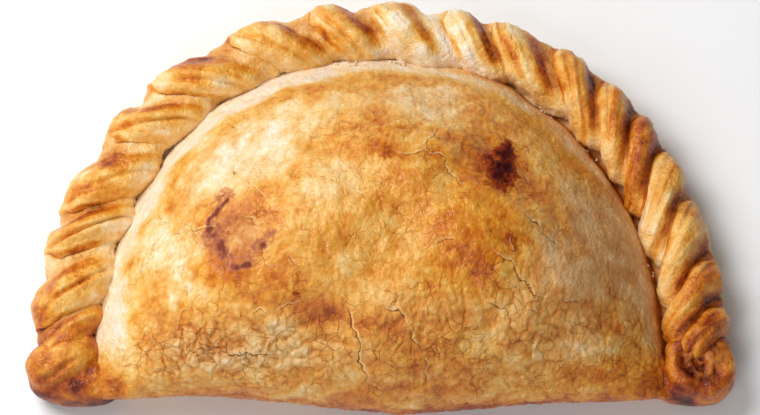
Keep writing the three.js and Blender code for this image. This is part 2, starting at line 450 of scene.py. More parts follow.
PATCHES: tuple[Patch, ...] = (
    Patch((520, 330), 200, 80, 0, 0.9, dry=0.45, flake=0.75),
    Patch((230, 345), 120, 46, 0, 1.0, dry=0.5, flake=1.0),
    Patch((610, 240), 64, 90, -20, 0.9, dry=0.9, flake=0.22),
    Patch((390, 112), 90, 26, 0, 0.7, flake=0.85),
    Patch((565, 285), 50, 40, 0, 0.6, dry=0.85),
    Patch((425, 98), 56, 24, 0, 0.75, Bake.CREAM, 0.8, 0.45),
    Patch((235, 160), 62, 36, 28, 0.85, Bake.DOUGH, 0.7, 0.2),
    Patch((300, 118), 52, 24, 18, 0.75, Bake.CREAM, 0.4, 0.3),
    Patch((330, 175), 50, 30, 0, 0.5, Bake.CREAM, 0.5, 0.3),
    Patch((358, 106), 40, 16, 10, 0.6, Bake.STRAW, 0.3),
    Patch((462, 110), 30, 16, 0, 0.4, Bake.STRAW, 0.5),
    Patch((386, 122), 22, 22, 0, 0.5, Bake.AMBER, 0.1),
    Patch((384, 148), 8, 18, 70, 0.65, Bake.BROWN, 0.1),
    Patch((346, 150), 14, 14, 0, 0.5, Bake.GOLD),
    Patch((432, 152), 12, 10, 0, 0.75, Bake.AMBER, 0.1),
    Patch((412, 118), 14, 12, 0, 0.4, Bake.AMBER, 0.1),
    Patch((178, 250), 34, 44, 70, 0.75, Bake.CREAM, 0.4, 0.95),
    Patch((190, 300), 34, 18, 0, 0.6, Bake.CREAM, 0.3, 1.0),
    Patch((495, 168), 38, 40, 0, 0.8, Bake.AMBER, 0.0),
    Patch((499, 166), 21, 25, 60, 0.7, Bake.BROWN, 0.0),
    Patch((508, 128), 20, 9, 0, 0.5, Bake.AMBER, 0.1),
    Patch((540, 192), 22, 16, -30, 0.65, Bake.AMBER, 0.1),
    Patch((480, 218), 48, 30, 0, 0.8, Bake.AMBER, 0.0),
    Patch((508, 245), 24, 16, 0, 0.55, Bake.AMBER, 0.1),
    Patch((462, 272), 66, 26, 0, 0.75, Bake.AMBER, 0.0),
    Patch((472, 250), 26, 18, 0, 0.4, Bake.BROWN, 0.0),
    Patch((232, 238), 40, 36, 60, 0.9, Bake.AMBER, 0.8),
    Patch((222, 270), 30, 20, 0, 0.85, Bake.AMBER, 0.0),
    Patch((226, 262), 18, 10, 0, 0.5, Bake.BROWN, 0.1),
    Patch((275, 285), 40, 24, 0, 0.7, Bake.AMBER, 0.1),
    Patch((322, 312), 34, 16, 0, 0.75, Bake.BROWN, 0.5),
    Patch((350, 230), 80, 40, 0, 0.35, Bake.GOLD, 0.25),
    Patch((420, 320), 60, 20, 0, 0.6, Bake.AMBER, 0.45),
    Patch((440, 350), 70, 30, 0, 0.6, Bake.AMBER, 0.2),
    Patch((560, 340), 60, 34, 0, 0.5, Bake.STRAW, 0.7),
    Patch((163, 322), 14, 26, 30, 0.55, Bake.AMBER, 0.5),
    Patch((205, 352), 50, 16, 0, 0.3, Bake.GOLD, 0.9),
    Patch((290, 350), 70, 24, 0, 0.5, Bake.STRAW, 0.7),
    Patch((230, 385), 80, 10, 5, 0.5, Bake.GOLD, 0.2),
    Patch((420, 391), 130, 11, 0, 0.65, Bake.AMBER, 0.25),
    Patch((600, 370), 60, 16, 8, 0.6, Bake.AMBER, 0.2),
    Patch((640, 350), 22, 40, 0, 0.4, Bake.AMBER, 0.2),
    Patch((612, 240), 44, 60, -60, 0.6, Bake.STRAW, 1.0),
    Patch((96, 390), 44, 16, 0, 0.9, Bake.AMBER, 0.6, 0.2),
    Patch((94, 372), 16, 12, 0, 0.6, Bake.AMBER, 0.6, 0.2),
    Patch((660, 385), 30, 24, 0, 0.4, Bake.AMBER, 0.2, 0.2),
)

CRACKS: tuple[Crack, ...] = (
    Crack(((390, 151), (406, 152), (422, 151), (430, 140), (437, 129), (452, 127), (465, 126)), 0.17),
    Crack(((422, 151), (437, 154), (444, 160), (447, 172), (456, 180), (465, 187)), 0.2),
    Crack(((447, 172), (440, 173), (432, 180)), 0.11),
    Crack(((422, 151), (418, 158), (415, 163)), 0.1),
    Crack(((526, 215), (533, 222), (540, 227), (545, 234), (551, 240), (560, 247)), 0.22),
    Crack(((551, 240), (556, 232), (566, 226), (571, 221)), 0.12),
    Crack((
        (490, 250), (500, 256), (507, 259), (514, 263), (518, 270), (520, 279), (527, 286), (536, 298),
    ), 0.22),
    Crack(((507, 260), (500, 263), (492, 268)), 0.11),
    Crack(((550, 185), (558, 190), (565, 195), (563, 203), (562, 210), (570, 220)), 0.11),
    Crack(((489, 124), (490, 132), (500, 135), (509, 140), (517, 147), (526, 158)), 0.1),
    Crack(((516, 170), (522, 175), (526, 181)), 0.13),
    Crack(((432, 245), (443, 240), (452, 239), (457, 236), (461, 231)), 0.12),
    Crack(((510, 236), (512, 244), (512, 252), (520, 250)), 0.12),
    Crack(((484, 296), (492, 304), (502, 310), (506, 317), (516, 326)), 0.14),
    Crack(((522, 280), (530, 286), (536, 296), (547, 299)), 0.18),
    Crack(((557, 295), (567, 301), (585, 299), (589, 304)), 0.14),
    Crack((
        (353, 307), (351, 317), (354, 330), (360, 342), (361, 352), (359, 362), (365, 375), (370, 385),
    ), 0.24),
    Crack(((370, 385), (374, 390), (380, 393)), 0.14),
    Crack(((382, 306), (392, 311), (400, 308), (404, 317), (409, 327), (414, 340), (422, 352)), 0.2),
    Crack(((422, 352), (426, 365), (427, 375), (429, 387)), 0.14),
    Crack((
        (251, 316), (258, 315), (264, 312), (272, 314), (278, 313), (286, 305), (296, 303), (305, 303),
    ), 0.17),
    Crack(((225, 354), (232, 356), (238, 355), (246, 357), (256, 356), (268, 356), (277, 356)), 0.17),
    Crack(((248, 357), (243, 363), (242, 368)), 0.11),
    Crack(((189, 361), (192, 355), (200, 350), (210, 350), (214, 349)), 0.18),
    Crack(((194, 362), (200, 357), (210, 357), (218, 353)), 0.13),
    Crack(((178, 324), (180, 318), (188, 306)), 0.13),
    Crack(((177, 324), (186, 330), (192, 331), (197, 322)), 0.11),
    Crack(((156, 366), (164, 369), (174, 371)), 0.13),
    Crack(((316, 343), (326, 348), (338, 349)), 0.11),
    Crack(((188, 342), (196, 340), (197, 348)), 0.11),
    Crack(((190, 306), (195, 316), (198, 322)), 0.1),
    Crack(((320, 226), (325, 243), (331, 260)), 0.1),
    Crack(((284, 256), (289, 261), (294, 269)), 0.14),
    Crack(((228, 246), (228, 256), (223, 271), (223, 285), (224, 291)), 0.14),
    Crack(((187, 231), (194, 230), (205, 227), (222, 223)), 0.13),
    Crack(((242, 219), (257, 221)), 0.12),
    Crack(((259, 224), (269, 222)), 0.12),
    Crack(((256, 263), (263, 264), (271, 268)), 0.13),
    Crack(((230, 164), (237, 170), (244, 180), (251, 186), (258, 190), (263, 196), (267, 203)), 0.13),
    Crack(((230, 164), (238, 176), (243, 181)), 0.1),
    Crack(((322, 172), (328, 178), (334, 185)), 0.12),
    Crack(((268, 212), (276, 213), (284, 210), (289, 214)), 0.1),
    Crack(((201, 200), (207, 207)), 0.11),
)

MARKS: tuple[Mark, ...] = (
    Mark(Trace.CHAR, ((505, 155), (503, 164), (500, 174)), 15, 1.3),
    Mark(Trace.CHAR, ((491, 160), (494, 172)), 11, 0.95),
    Mark(Trace.CHAR, ((498, 158), (498, 174)), 20, 0.38),
    Mark(Trace.CHAR, ((497, 180), (500, 187)), 8, 0.85),
    Mark(Trace.CHAR, ((487, 182), (490, 176)), 6, 0.6),
    Mark(Trace.CHAR, ((514, 156), (513, 166)), 7, 0.8),
    Mark(Trace.CHAR, ((510, 238), (512, 246)), 6, 0.6),
    Mark(Trace.CHAR, ((383, 145), (386, 156)), 6, 0.35),
    Mark(Trace.CHAR, ((294, 293), (296, 293)), 3, 0.8),
    Mark(Trace.CHAR, ((430, 150), (433, 152)), 6, 0.3),
    Mark(Trace.SCORCH, ((229, 194), (217, 208), (206, 221)), 9, 0.6),
    Mark(Trace.SCORCH, ((227, 201), (217, 213), (206, 221)), 5.5, 1.5),
    Mark(Trace.SCORCH, ((212, 224), (217, 237), (223, 250)), 13, 0.68),
    Mark(Trace.SCORCH, ((226, 236), (244, 246)), 18, 0.14),
    Mark(Trace.SCORCH, ((207, 224), (211, 234)), 6, 1.1),
    Mark(Trace.SCORCH, ((220, 222), (238, 213)), 5, 0.4),
    Mark(Trace.SCORCH, ((233, 261), (247, 258), (257, 249), (264, 240)), 10, 0.5),
    Mark(Trace.SCORCH, ((262, 245), (259, 252)), 5, 1.2),
    Mark(Trace.SCORCH, ((236, 266), (249, 265)), 5, 1.3),
    Mark(Trace.SCORCH, ((222, 246), (226, 256)), 5, 1.1),
    Mark(Trace.SCORCH, ((222, 256), (218, 264)), 8, 0.35),
    Mark(Trace.WRINKLE, ((415, 396), (450, 394), (485, 391), (540, 394), (575, 390), (612, 386)), 5, 0.5),
    Mark(Trace.WRINKLE, ((180, 378), (225, 380), (270, 384), (330, 392)), 5, 0.5),
)


def beside_line(line: Array, place: Array) -> tuple[Array, Array]:
    """Distance in plan from a broken line and how much of the line has been walked at the nearest point.

    Args:
        line: the line's corners, (k, 2).
        place: the places to read, (n, 2).

    Returns:
        The distance, positive left of the line, and the walked share from 0 to 1.
    """
    nearest = np.full(len(place), 99.0)
    signed = np.full(len(place), 99.0)
    walked = np.zeros(len(place))
    for number, (start, end) in enumerate(zip(line[:-1], line[1:])):
        run = end - start
        share = np.clip(((place - start) @ run) / (run @ run), 0, 1)
        gap = np.linalg.norm(place - start - share[:, None] * run, axis=1)
        side = run[0] * (place[:, 1] - start[1]) - run[1] * (place[:, 0] - start[0])
        closer = gap < nearest
        nearest = np.where(closer, gap, nearest)
        signed = np.where(closer, np.where(side < 0, -gap, gap), signed)
        walked = np.where(closer, (number + share) / (len(line) - 1), walked)
    return signed, walked


@dataclass
class Surface:
    """A finished grid of points with its faces and the values that the finish reads at each point."""

    points: Array
    faces: list[Array]
    values: dict[str, Array]

    def make(self, name: str, finish: "CrustFinish", moon: HalfMoon) -> bpy.types.Object:
        """Puts the grid into a smooth mesh object of its own.

        Args:
            name: the piece's name.
            finish: the crust finish it wears.
            moon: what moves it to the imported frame.

        Returns:
            The piece, riding on its body in place of the solid.
        """
        mesh = bpy.data.meshes.new(name)
        rows = [row for block in self.faces for row in block.tolist()]
        mesh.from_pydata(moon.packed(self.points).tolist(), [], rows)
        for key, value in self.values.items():
            store = mesh.attributes.new(key, "FLOAT", "POINT")
            store.data.foreach_set("value", value.astype(np.float32))
        mesh.shade_smooth()
        mesh.materials.append(finish.material)
        piece = bpy.data.objects.new(name, mesh)
        bpy.context.scene.collection.objects.link(piece)
        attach(piece, BODY)
        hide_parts(NODE)
        triangles = sum(len(block) * (block.shape[1] - 2) for block in self.faces)
        log.info("%s: %d points, %d triangles", name, len(self.points), triangles)
        return piece


def plain_values(bake: Array, dry: Array | float, flake: float) -> dict[str, Array]:
    """The values of a piece with no burns and no cracks.

    Args:
        bake: how far each point is baked.
        dry: how dry the piece is.
        flake: how flaky it is.

    Returns:
        The values that the finish reads, by name.
    """
    none = np.zeros(len(bake))
    return {
        "bake": bake,
        "dry": none + dry,
        "flake": none + flake,
        "char": none,
        "scorch": none,
        "crack": none + 9,
        "gap": none,
    }


def grid_faces(rows: Array) -> Array:
    """Quads between neighbouring rows and columns of a grid of point numbers.

    Args:
        rows: the point numbers, (rows, columns).

    Returns:
        The quads, facing up where rows run back and columns run right, (n, 4).
    """
    quads = np.stack([rows[:-1, :-1], rows[:-1, 1:], rows[1:, 1:], rows[1:, :-1]], axis=-1)
    return quads.reshape(-1, 4)


def sound_faces(quads: Array) -> list[Array]:
    """Splits quads that have lost a side into triangles, and drops those that have lost two.

    Args:
        quads: point numbers with some repeated, (n, 4).

    Returns:
        The whole quads and the triangles.
    """
    same = np.stack([quads[:, k] == quads[:, (k + 1) % 4] for k in range(4)], axis=1)
    across = (quads[:, 0] == quads[:, 2]) | (quads[:, 1] == quads[:, 3])
    lost = same.sum(axis=1)
    whole = quads[(lost == 0) & ~across]
    kept = []
    for k in range(4):
        part = quads[(lost == 1) & same[:, k] & ~across]
        kept.append(np.delete(part, (k + 1) % 4, axis=1))
    return [whole, np.concatenate(kept)]


def ball(round_steps: int, down_steps: int) -> tuple[Array, Array, Array]:
    """A ball's directions by even steps of angle round and down, with one point at each pole.

    Args:
        round_steps: points in each ring.
        down_steps: stretches from pole to pole.

    Returns:
        The unit directions with the poles last, (n, 3), the quads and the two fans of triangles.
    """
    turn = np.linspace(0, TURN, round_steps, endpoint=False)
    down = np.linspace(0, math.pi, down_steps + 1)[1:-1, None]
    grid = [np.sin(down) * np.cos(turn), np.sin(down) * np.sin(turn), np.cos(down) + 0 * turn]
    unit = np.concatenate([np.stack(grid, axis=-1).reshape(-1, 3), [[0, 0, 1], [0, 0, -1]]])
    numbers = np.arange(len(unit) - 2).reshape(down_steps - 1, round_steps)
    numbers = np.concatenate([numbers, numbers[:, :1]], axis=1)
    rim, foot = numbers[0], numbers[-1]
    top, bottom = len(unit) - 2, len(unit) - 1
    fans = np.concatenate([
        np.stack([np.full(round_steps, top), rim[:-1], rim[1:]], axis=1),
        np.stack([foot[1:], foot[:-1], np.full(round_steps, bottom)], axis=1),
    ])
    return unit, grid_faces(numbers)[:, ::-1], fans


@dataclass(frozen=True)
class SkinRelief:
    """Heights of the crust's relief and sizes of its cells, mm. Pairs run from smooth skin to flaky skin."""

    slow: float = 0.4
    swell: float = 0.18
    plate: tuple[float, float] = (0.03, 0.28)
    plate_size: float = 3.0
    scale: tuple[float, float] = (0.03, 0.12)
    scale_size: float = 1.5
    fold: float = 0.1
    crease: tuple[float, float] = (0.08, 0.05)
    blister: float = 0.35
    blister_uneven: float = 0.3
    blister_size: float = 1.2
    stripe: float = 0.16
    wrinkle: float = 0.6
    crack_lip: float = 0.25
    crack_depth: float = 0.9


@dataclass(frozen=True)
class SeamBakingAndShade:
    """How the crust is coloured beside the rope: a pale strip and a golden band past it, as baked, and a brown
    groove that is painted shade in the seam.

    Reaches are distances from the rope's line, and the band's is one past the strip's edge, mm. Pairs run
    from the right side to the left one.
    """

    reach: tuple[float, float] = (9.7, 11.2)
    strip_bake: tuple[float, float] = (0.24, 0.0)
    strip_dry: tuple[float, float] = (0.9, 0.35)
    strip_flake: float = 0.1
    band_past: float = 1.9
    band_wide: float = 1.6
    band_bake: float = 0.26
    band_dry: float = 0.1
    # The groove is painted shade: a browner, duller band where the crust dips beside the rope.
    groove_reach: float = 6.2
    groove_wide: float = 1.0
    groove_painted_shade: float = 0.5


@dataclass
class FilledCrust:
    """The swollen crust over the filling, from the fold over the crown to the rope, and its flat base."""

    moon: HalfMoon
    view: PhotoView
    skin: SkinRelief = SkinRelief()
    beside: SeamBakingAndShade = SeamBakingAndShade()
    columns: int = 470
    crown_rows: int = 186
    base_rows: int = 5
    tuck_rows: int = 12
    even_share: float = 0.62
    narrowest: float = 2.0
    tuck_share: float = 0.6
    front_crowd: float = 1.6
    end_height: float = 2.75
    crack_push: float = 0.4
    crack_jag: float = 0.3
    crack_margin: float = 2.5
    ground_bake: float = 0.42
    ground_dry: float = 0.25
    ground_flake: float = 0.45
    edge_bake: float = 0.32

    def plan(self) -> tuple[Array, Array]:
        """The rope's line at each column: a weighted mean of even steps of X and even steps of the angle.

        Returns:
            Its X and its Y.
        """
        x, y, _ = self.moon.rope_line()
        share = np.arange(1, self.columns + 1) / (self.columns + 1)
        even = lerp(x[0], x[-1], share)
        round_ = -self.moon.half_width * np.cos(math.pi * share)
        place = self.even_share * even + (1 - self.even_share) * round_
        return place, np.interp(place, x, y)

    def sections(self) -> Array:
        """Closed sections side by side: crown from fold to rope, base back to the tuck, tuck up to the fold.

        The crown's rows crowd towards the fold, where it is steep, and the tuck is a quarter of an ellipse.

        Returns:
            Points of the bare form, (rows, columns, 3).
        """
        moon = self.moon
        x, rope_y = self.plan()
        front = moon.fold_line(x)
        back = np.maximum(rope_y, front + self.narrowest)
        edge = moon.edge_height(x)
        tuck = np.minimum(moon.fold_tuck, (back - front) * self.tuck_share)
        share = np.linspace(0, 1, self.crown_rows)[:, None]
        crown_y = lerp(front, back, share**self.front_crowd * (1 - share) + share * share)
        crown_z = moon.crown(x, crown_y)
        share = np.linspace(0, 1, self.base_rows)[:, None]
        base_y = lerp(back, front + tuck, share)
        angle = math.pi / 2 * np.linspace(0, 1, self.tuck_rows + 2)[1:-1, None]
        tuck_y = front + tuck * (1 - np.sin(angle))
        tuck_z = edge * (1 - np.cos(angle))
        y = np.concatenate([crown_y, base_y, tuck_y])
        z = np.concatenate([crown_z, np.zeros_like(base_y), tuck_z])
        return np.stack([np.broadcast_to(x, y.shape), y, z], axis=-1)

    @staticmethod
    def outward(points: Array) -> Array:
        """Unit normals of closed sections: the cross product of the differences along and across them.

        Args:
            points: points of the sections, (rows, columns, 3).

        Returns:
            The normals, of the same shape.
        """
        along = np.gradient(points, axis=1)
        across = np.roll(points, -1, axis=0) - np.roll(points, 1, axis=0)
        normal = np.cross(along, across)
        return normal / np.maximum(np.linalg.norm(normal, axis=-1, keepdims=True), 1e-9)

    def crack_field(self, points: Array) -> tuple[Array, Array]:
        """Signed distance to the nearest crack, on a plan that waves push about, and how wide it is there.

        Args:
            points: points of the bare form.

        Returns:
            The distance, positive left of the crack, in mm; and the crack's width, nothing away from cracks.
        """
        push = [Grain.waves(points, 2.4, 301 + k, 2) for k in range(2)]
        jag = [Grain.waves(points, 1.2, 305 + k, 1) for k in range(2)]
        place = points[:, :2] + self.crack_push * np.stack(push, axis=1)
        place = place + self.crack_jag * np.stack(jag, axis=1)
        signed = np.full(len(points), 99.0)
        wide = np.zeros(len(points))
        for crack in CRACKS:
            line = self.view.drop(crack.path)
            least = line.min(axis=0) - self.crack_margin
            most = line.max(axis=0) + self.crack_margin
            close = np.all((place > least) & (place < most), axis=1)
            gap, walked = beside_line(line, place[close])
            taper = 0.8 * np.clip(5 * np.minimum(walked, 1 - walked) + 0.2, 0, 1)
            closer = np.abs(gap) < np.abs(signed[close])
            signed[close] = np.where(closer, gap, signed[close])
            wide[close] = np.where(closer, crack.wide * taper, wide[close])
        broken = smooth(-0.9, 0.1, Grain.waves(points, 2.0, 308, 2))
        return signed, wide * lerp(0.35, 1, broken) * smooth(1.8, 0.9, np.abs(signed))

    @staticmethod
    def stripes(points: Array) -> Array:
        """Slanting wavy stripes of scorched skin, -1 to 1."""
        return np.sin(2.6 * (points[:, 0] + points[:, 1]) + 3 * Grain.waves(points, 5.0, 40, 2))

    def traces(self, points: Array, soft: Array) -> dict[str, Array]:
        """How charred, scorched and wrinkled each point is: the strongest of the strokes that reach it.

        Args:
            points: points of the bare form.
            soft: waves that make the edges ragged.

        Returns:
            The strength of each kind, by name.
        """
        found = {kind.value: np.zeros(len(points)) for kind in Trace}
        rag = 0.3 * soft + 0.5 * Grain.waves(points, 1.8, 85, 2) + 0.25 * Grain.waves(points, 4.5, 86, 2)
        for mark in MARKS:
            gap, _ = beside_line(self.view.drop(mark.path), points[:, :2])
            reach = np.abs(gap) * self.view.scale / mark.wide + rag
            cover = mark.strength * smooth(1.6, -0.2, reach)
            found[mark.kind.value] = np.maximum(found[mark.kind.value], cover)
        found["scorch"] = found["scorch"] * (1 + 0.14 * self.stripes(points))
        return found

    def build(self, finish: "CrustFinish") -> bpy.types.Object:
        """Makes the crust: form, relief along its normals, and the values for its finish.

        Args:
            finish: the crust finish.

        Returns:
            The piece.
        """
        form = self.sections()
        rows, columns, _ = form.shape
        normal = self.outward(form).reshape(-1, 3)
        points = form.reshape(-1, 3)
        x, y, z = points.T
        seam = self.moon.from_rope(x, y)
        above = np.zeros((rows, columns), bool)
        above[: self.crown_rows] = True
        above[self.crown_rows + self.base_rows:] = True
        above = above.reshape(-1)
        fade = above * smooth(1.0, 5.0, seam) * smooth(0.5, 8.0, z)
        values = self.baking_and_shade(points, seam)
        values["crack"], values["gap"] = self.crack_field(points)
        relief, raised = self.relief(points, values)
        # Partly flaked dough's pale tone, partly painted shade: raised skin paler, hollows and creases darker.
        values["bake"] = np.clip(values["bake"] - raised * lerp(0.1, 0.25, values["flake"]), 0, 1)
        del values["wrinkle"]
        points = points + normal * (relief * fade)[:, None]
        points[:, 2] = np.maximum(points[:, 2], 0)
        numbers = np.arange(rows * columns).reshape(rows, columns)
        numbers = np.concatenate([numbers, numbers[:1]])
        end_x, end_y = self.moon.half_width, -self.moon.fold_reach / 2
        ends = np.array([[-end_x, end_y, self.end_height], [end_x, end_y, self.end_height]])
        left, right = len(points), len(points) + 1
        first, last = numbers[:, 0], numbers[:, -1]
        fans = np.concatenate([
            np.stack([np.full(rows, left), first[:-1], first[1:]], axis=1),
            np.stack([last[:-1], np.full(rows, right), last[1:]], axis=1),
        ])
        values = {key: np.concatenate([value, value[[0, -1]]]) for key, value in values.items()}
        surface = Surface(np.concatenate([points, ends]), [grid_faces(numbers), fans], values)
        return surface.make("filled_crust", finish, self.moon)

    def relief(self, points: Array, values: dict[str, Array]) -> tuple[Array, Array]:
        """Height of the skin over the form: slow waves, plates, wrinkles, blister and cracks, added up.

        A plate or scale is a cell of a warped net, level inside and low along its edges. A fold or crease is
        a ridge along the line where a wave passes through zero, and a wrinkle is a raised stroke. Cracks are
        grooves between low lips.

        Args:
            points: points of the bare form.
            values: the crust's flakiness, strokes and cracks at each point.

        Returns:
            The height at each point, mm, and how far it stands out from what is round it, about -1 to 1.
        """
        skin = self.skin
        flake = values["flake"]
        warp = np.stack([Grain.waves(points, 5.0, 40 + k, 2) for k in range(3)], axis=1)
        near, later, name = Grain.cells(points + 1.6 * warp, skin.plate_size, 51)
        plate = smooth(0.0, 0.22, later - near) - 0.8 + 0.7 * (name - 0.5)
        near, later, name = Grain.cells(points + 0.8 * warp, skin.scale_size, 61)
        scale = smooth(0.0, 0.3, later - near) - 0.7 + 0.7 * (name - 0.5)
        fold = 1 - 2 * np.abs(Grain.waves(points + 1.1 * warp, 3.0, 72, 2))
        crease = 1 - 2 * np.abs(Grain.waves(points + 0.8 * warp, 1.7, 74, 2))
        where = smooth(-0.5, 0.5, Grain.waves(points, 9.0, 73, 1))
        height = skin.slow * Grain.waves(points, 11.0, 5, 3) + skin.swell * Grain.waves(points, 4.2, 6, 2)
        height = height + lerp(*skin.plate, flake) * plate + lerp(*skin.scale, flake) * scale
        tame = 1 - 0.8 * smooth(8, 36, points[:, 0]) * smooth(-6, 10, points[:, 1])
        height = height + tame * (skin.fold * fold * where + lerp(*skin.crease, flake) * crease)
        raised = flake * (0.55 * plate + 0.35 * scale) + tame * (0.2 * fold * where + 0.16 * crease)
        near, later, name = Grain.cells(points, skin.blister_size, 66)
        bubbles = (skin.blister + skin.blister_uneven * name) * smooth(0.0, 0.5, later - near)
        height = lerp(height, height * 0.4 + bubbles, smooth(0.15, 0.9, values["char"]))
        height = height + skin.stripe * smooth(0.3, 0.8, values["scorch"]) * self.stripes(points)
        height = height + skin.wrinkle * values["wrinkle"]
        gap = np.abs(values["crack"])
        groove = skin.crack_lip * bell(gap - 0.5, 0.3) - skin.crack_depth * bell(gap, 0.17)
        return height + values["gap"] * groove, raised + 0.6 * values["wrinkle"]

    def baking_and_shade(self, points: Array, seam: Array) -> dict[str, Array]:
        """What the oven did to each point, with painted shade in the seam's groove: patches over a golden
        ground, then seam, fold and mottling.

        Args:
            points: points of the bare form.
            seam: distance from the rope's line.

        Returns:
            The bake from 0, raw dough, to 1, char; the dryness, the flakiness and the strokes, by name.
        """
        x, y, z = points.T
        moon, beside = self.moon, self.beside
        soft = Grain.waves(points, 6.0, 81, 4)
        ground = {"bake": self.ground_bake, "dry": self.ground_dry, "flake": self.ground_flake}
        found = {name: np.full(len(points), start) for name, start in ground.items()}
        for patch in PATCHES:
            amount = patch.fully * self.spread(patch, points[:, :2], soft)
            for name, value in patch.draws.items():
                found[name] = lerp(found[name], value, amount)
        turned = np.arctan2(np.maximum(y, 0) / moon.arc_depth, x / moon.half_width)
        edge = lerp(*beside.reach, smooth(2.2, 2.8, turned))
        band = bell(seam + soft - edge - beside.band_past, beside.band_wide) * smooth(1.9, 2.2, turned)
        strip = smooth(edge + 1.6, edge - 1.4, seam + 1.5 * soft) * smooth(-2, 5, y)
        leftward = smooth(0.9, 1.4, turned)
        found["bake"] = lerp(found["bake"], beside.band_bake, 0.5 * band)
        found["dry"] = lerp(found["dry"], beside.band_dry, 0.9 * band)
        found["bake"] = lerp(found["bake"], lerp(*beside.strip_bake, leftward), 0.95 * strip)
        found["dry"] = lerp(found["dry"], lerp(*beside.strip_dry, leftward), strip)
        found["flake"] = lerp(found["flake"], beside.strip_flake, strip)
        edge_on = smooth(13.0, 7.5, z) * smooth(14, 2, y)
        edge_on = edge_on * lerp(0.35, 1, smooth(-20, 10, x)) * lerp(1, 0.4, smooth(25, 45, x))
        found["bake"] = found["bake"] + self.edge_bake * edge_on * smooth(0, 12, moon.half_width - np.abs(x))
        # Painted shade in the seam's groove on the right: browner and duller there.
        groove = bell(seam - beside.groove_reach, beside.groove_wide)
        groove = groove * smooth(1.6, 1.0, turned) * smooth(-2, 4, y)
        found["bake"] = found["bake"] + beside.groove_painted_shade * groove
        found["dry"] = lerp(found["dry"], 1.0, groove)
        found["dry"] = lerp(found["dry"], 0.1, 0.7 * edge_on)
        mottle = 0.12 * soft + 0.09 * Grain.waves(points, 2.2, 83, 3)
        found["bake"] = np.clip(found["bake"] + mottle * (1 - 0.5 * strip), 0, 1)
        return found | self.traces(points, soft)

    def spread(self, patch: Patch, plan: Array, soft: Array) -> Array:
        """How fully a patch covers each point, as an ellipse on the crust with a ragged edge.

        Args:
            patch: the patch.
            plan: plan places of the points.
            soft: waves that make the edge ragged.

        Returns:
            The cover from 0 to 1.
        """
        angle = math.radians(patch.turn)
        along = np.array([math.cos(angle), -math.sin(angle)])
        beside = np.array([math.sin(angle), math.cos(angle)])
        centre = np.array(patch.at)
        spots = self.view.drop([centre, centre + along * patch.long, centre + beside * patch.wide])
        sides = np.stack([spots[1] - spots[0], spots[2] - spots[0]], axis=1)
        inside = (plan - spots[0]) @ np.linalg.inv(sides).T
        gap = np.linalg.norm(inside, axis=1) + 0.25 * soft
        return smooth(1.35, 0.35, gap)


@dataclass(frozen=True)
class FoldSection:
    """Section of one fold along the rope: lip over the valley before it, crease, hump, valley, facet."""

    at: tuple[float, ...] = (0.0, 0.06, 0.15, 0.25, 0.34, 0.46, 0.58, 0.69, 0.82, 0.94)
    height: tuple[float, ...] = (0.3, 0.74, 0.97, 1.1, 1.13, 1.02, 0.76, 0.28, 0.1, 0.1)
    outer: tuple[float, ...] = (0.86, 0.9, 1.0, 1.0, 1.0, 0.9, 0.56, 0.14, 0.42, 0.7)
    inner: tuple[float, ...] = (0.42, 0.66, 0.84, 0.98, 1.04, 1.0, 0.88, 0.66, 0.5, 0.44)
    plump_height: tuple[float, ...] = (0.02, 0.55, 0.84, 1.0, 1.09, 1.13, 1.08, 0.93, 0.55, 0.0)
    plump_outer: tuple[float, ...] = (0.66, 0.82, 0.94, 1.0, 1.02, 1.03, 1.0, 0.94, 0.82, 0.68)
    plump_inner: tuple[float, ...] = (0.3, 0.64, 0.88, 1.0, 1.06, 1.06, 1.0, 0.86, 0.58, 0.32)
    lean: tuple[float, ...] = (-0.08, -0.06, -0.03, 0.0, 0.0, 0.0, 0.0, 0.0, 0.01, 0.03)

    def read(self, values: tuple[float, ...], share: Array) -> Array:
        """A smooth closed curve through the section's values, with no overshoot.

        Cubic pieces whose slope at each value is the harmonic mean of the slopes beside it, or level at a
        turn.

        Args:
            values: the values at the section's places.
            share: where to read, 0 to 1 along the fold.

        Returns:
            The curve at each place.
        """
        at = np.array([self.at[-2] - 1, self.at[-1] - 1, *self.at, 1.0, 1 + self.at[1], 1 + self.at[2]])
        value = np.array([values[-2], values[-1], *values, values[0], values[1], values[2]])
        step = np.diff(at)
        rise = np.diff(value) / step
        both = rise[:-1] * rise[1:]
        total = np.where(both > 0, rise[:-1] + rise[1:], 1)
        slope = np.concatenate([[0], np.where(both > 0, 2 * both / total, 0), [0]])
        spot = np.clip(np.searchsorted(at, share, side="right") - 1, 0, len(step) - 1)
        part = (share - at[spot]) / step[spot]
        left = value[spot] * (1 + 2 * part) * (1 - part) ** 2
        left = left + slope[spot] * step[spot] * part * (1 - part) ** 2
        right = value[spot + 1] * (3 - 2 * part) * part**2
        return left + right + slope[spot + 1] * step[spot] * part**2 * (part - 1)


@dataclass(frozen=True)
class Fold:
    """One hand-made fold: its length along the rope, its slant over the top, its crease, its baked colour and
    its painted shade.

    The crease crosses the fold from one share of its length outside to another inside. Crest and facet say how
    much further than the fold's ground the top and the recess before the next lip are baked; slope says how
    much browner the far slope is made, as painted shade down into the valley. Plump runs from 0, a hump with a
    wide flat recess after it, to 1, a full sausage with a narrow groove. Early below 1 ends the hump sooner
    along the fold.
    """

    length: float
    slant: float
    crease: float
    crease_outside: float
    crease_inside: float
    ground: float
    slope: float
    crest: float
    facet: float
    plump: float
    early: float = 1.0


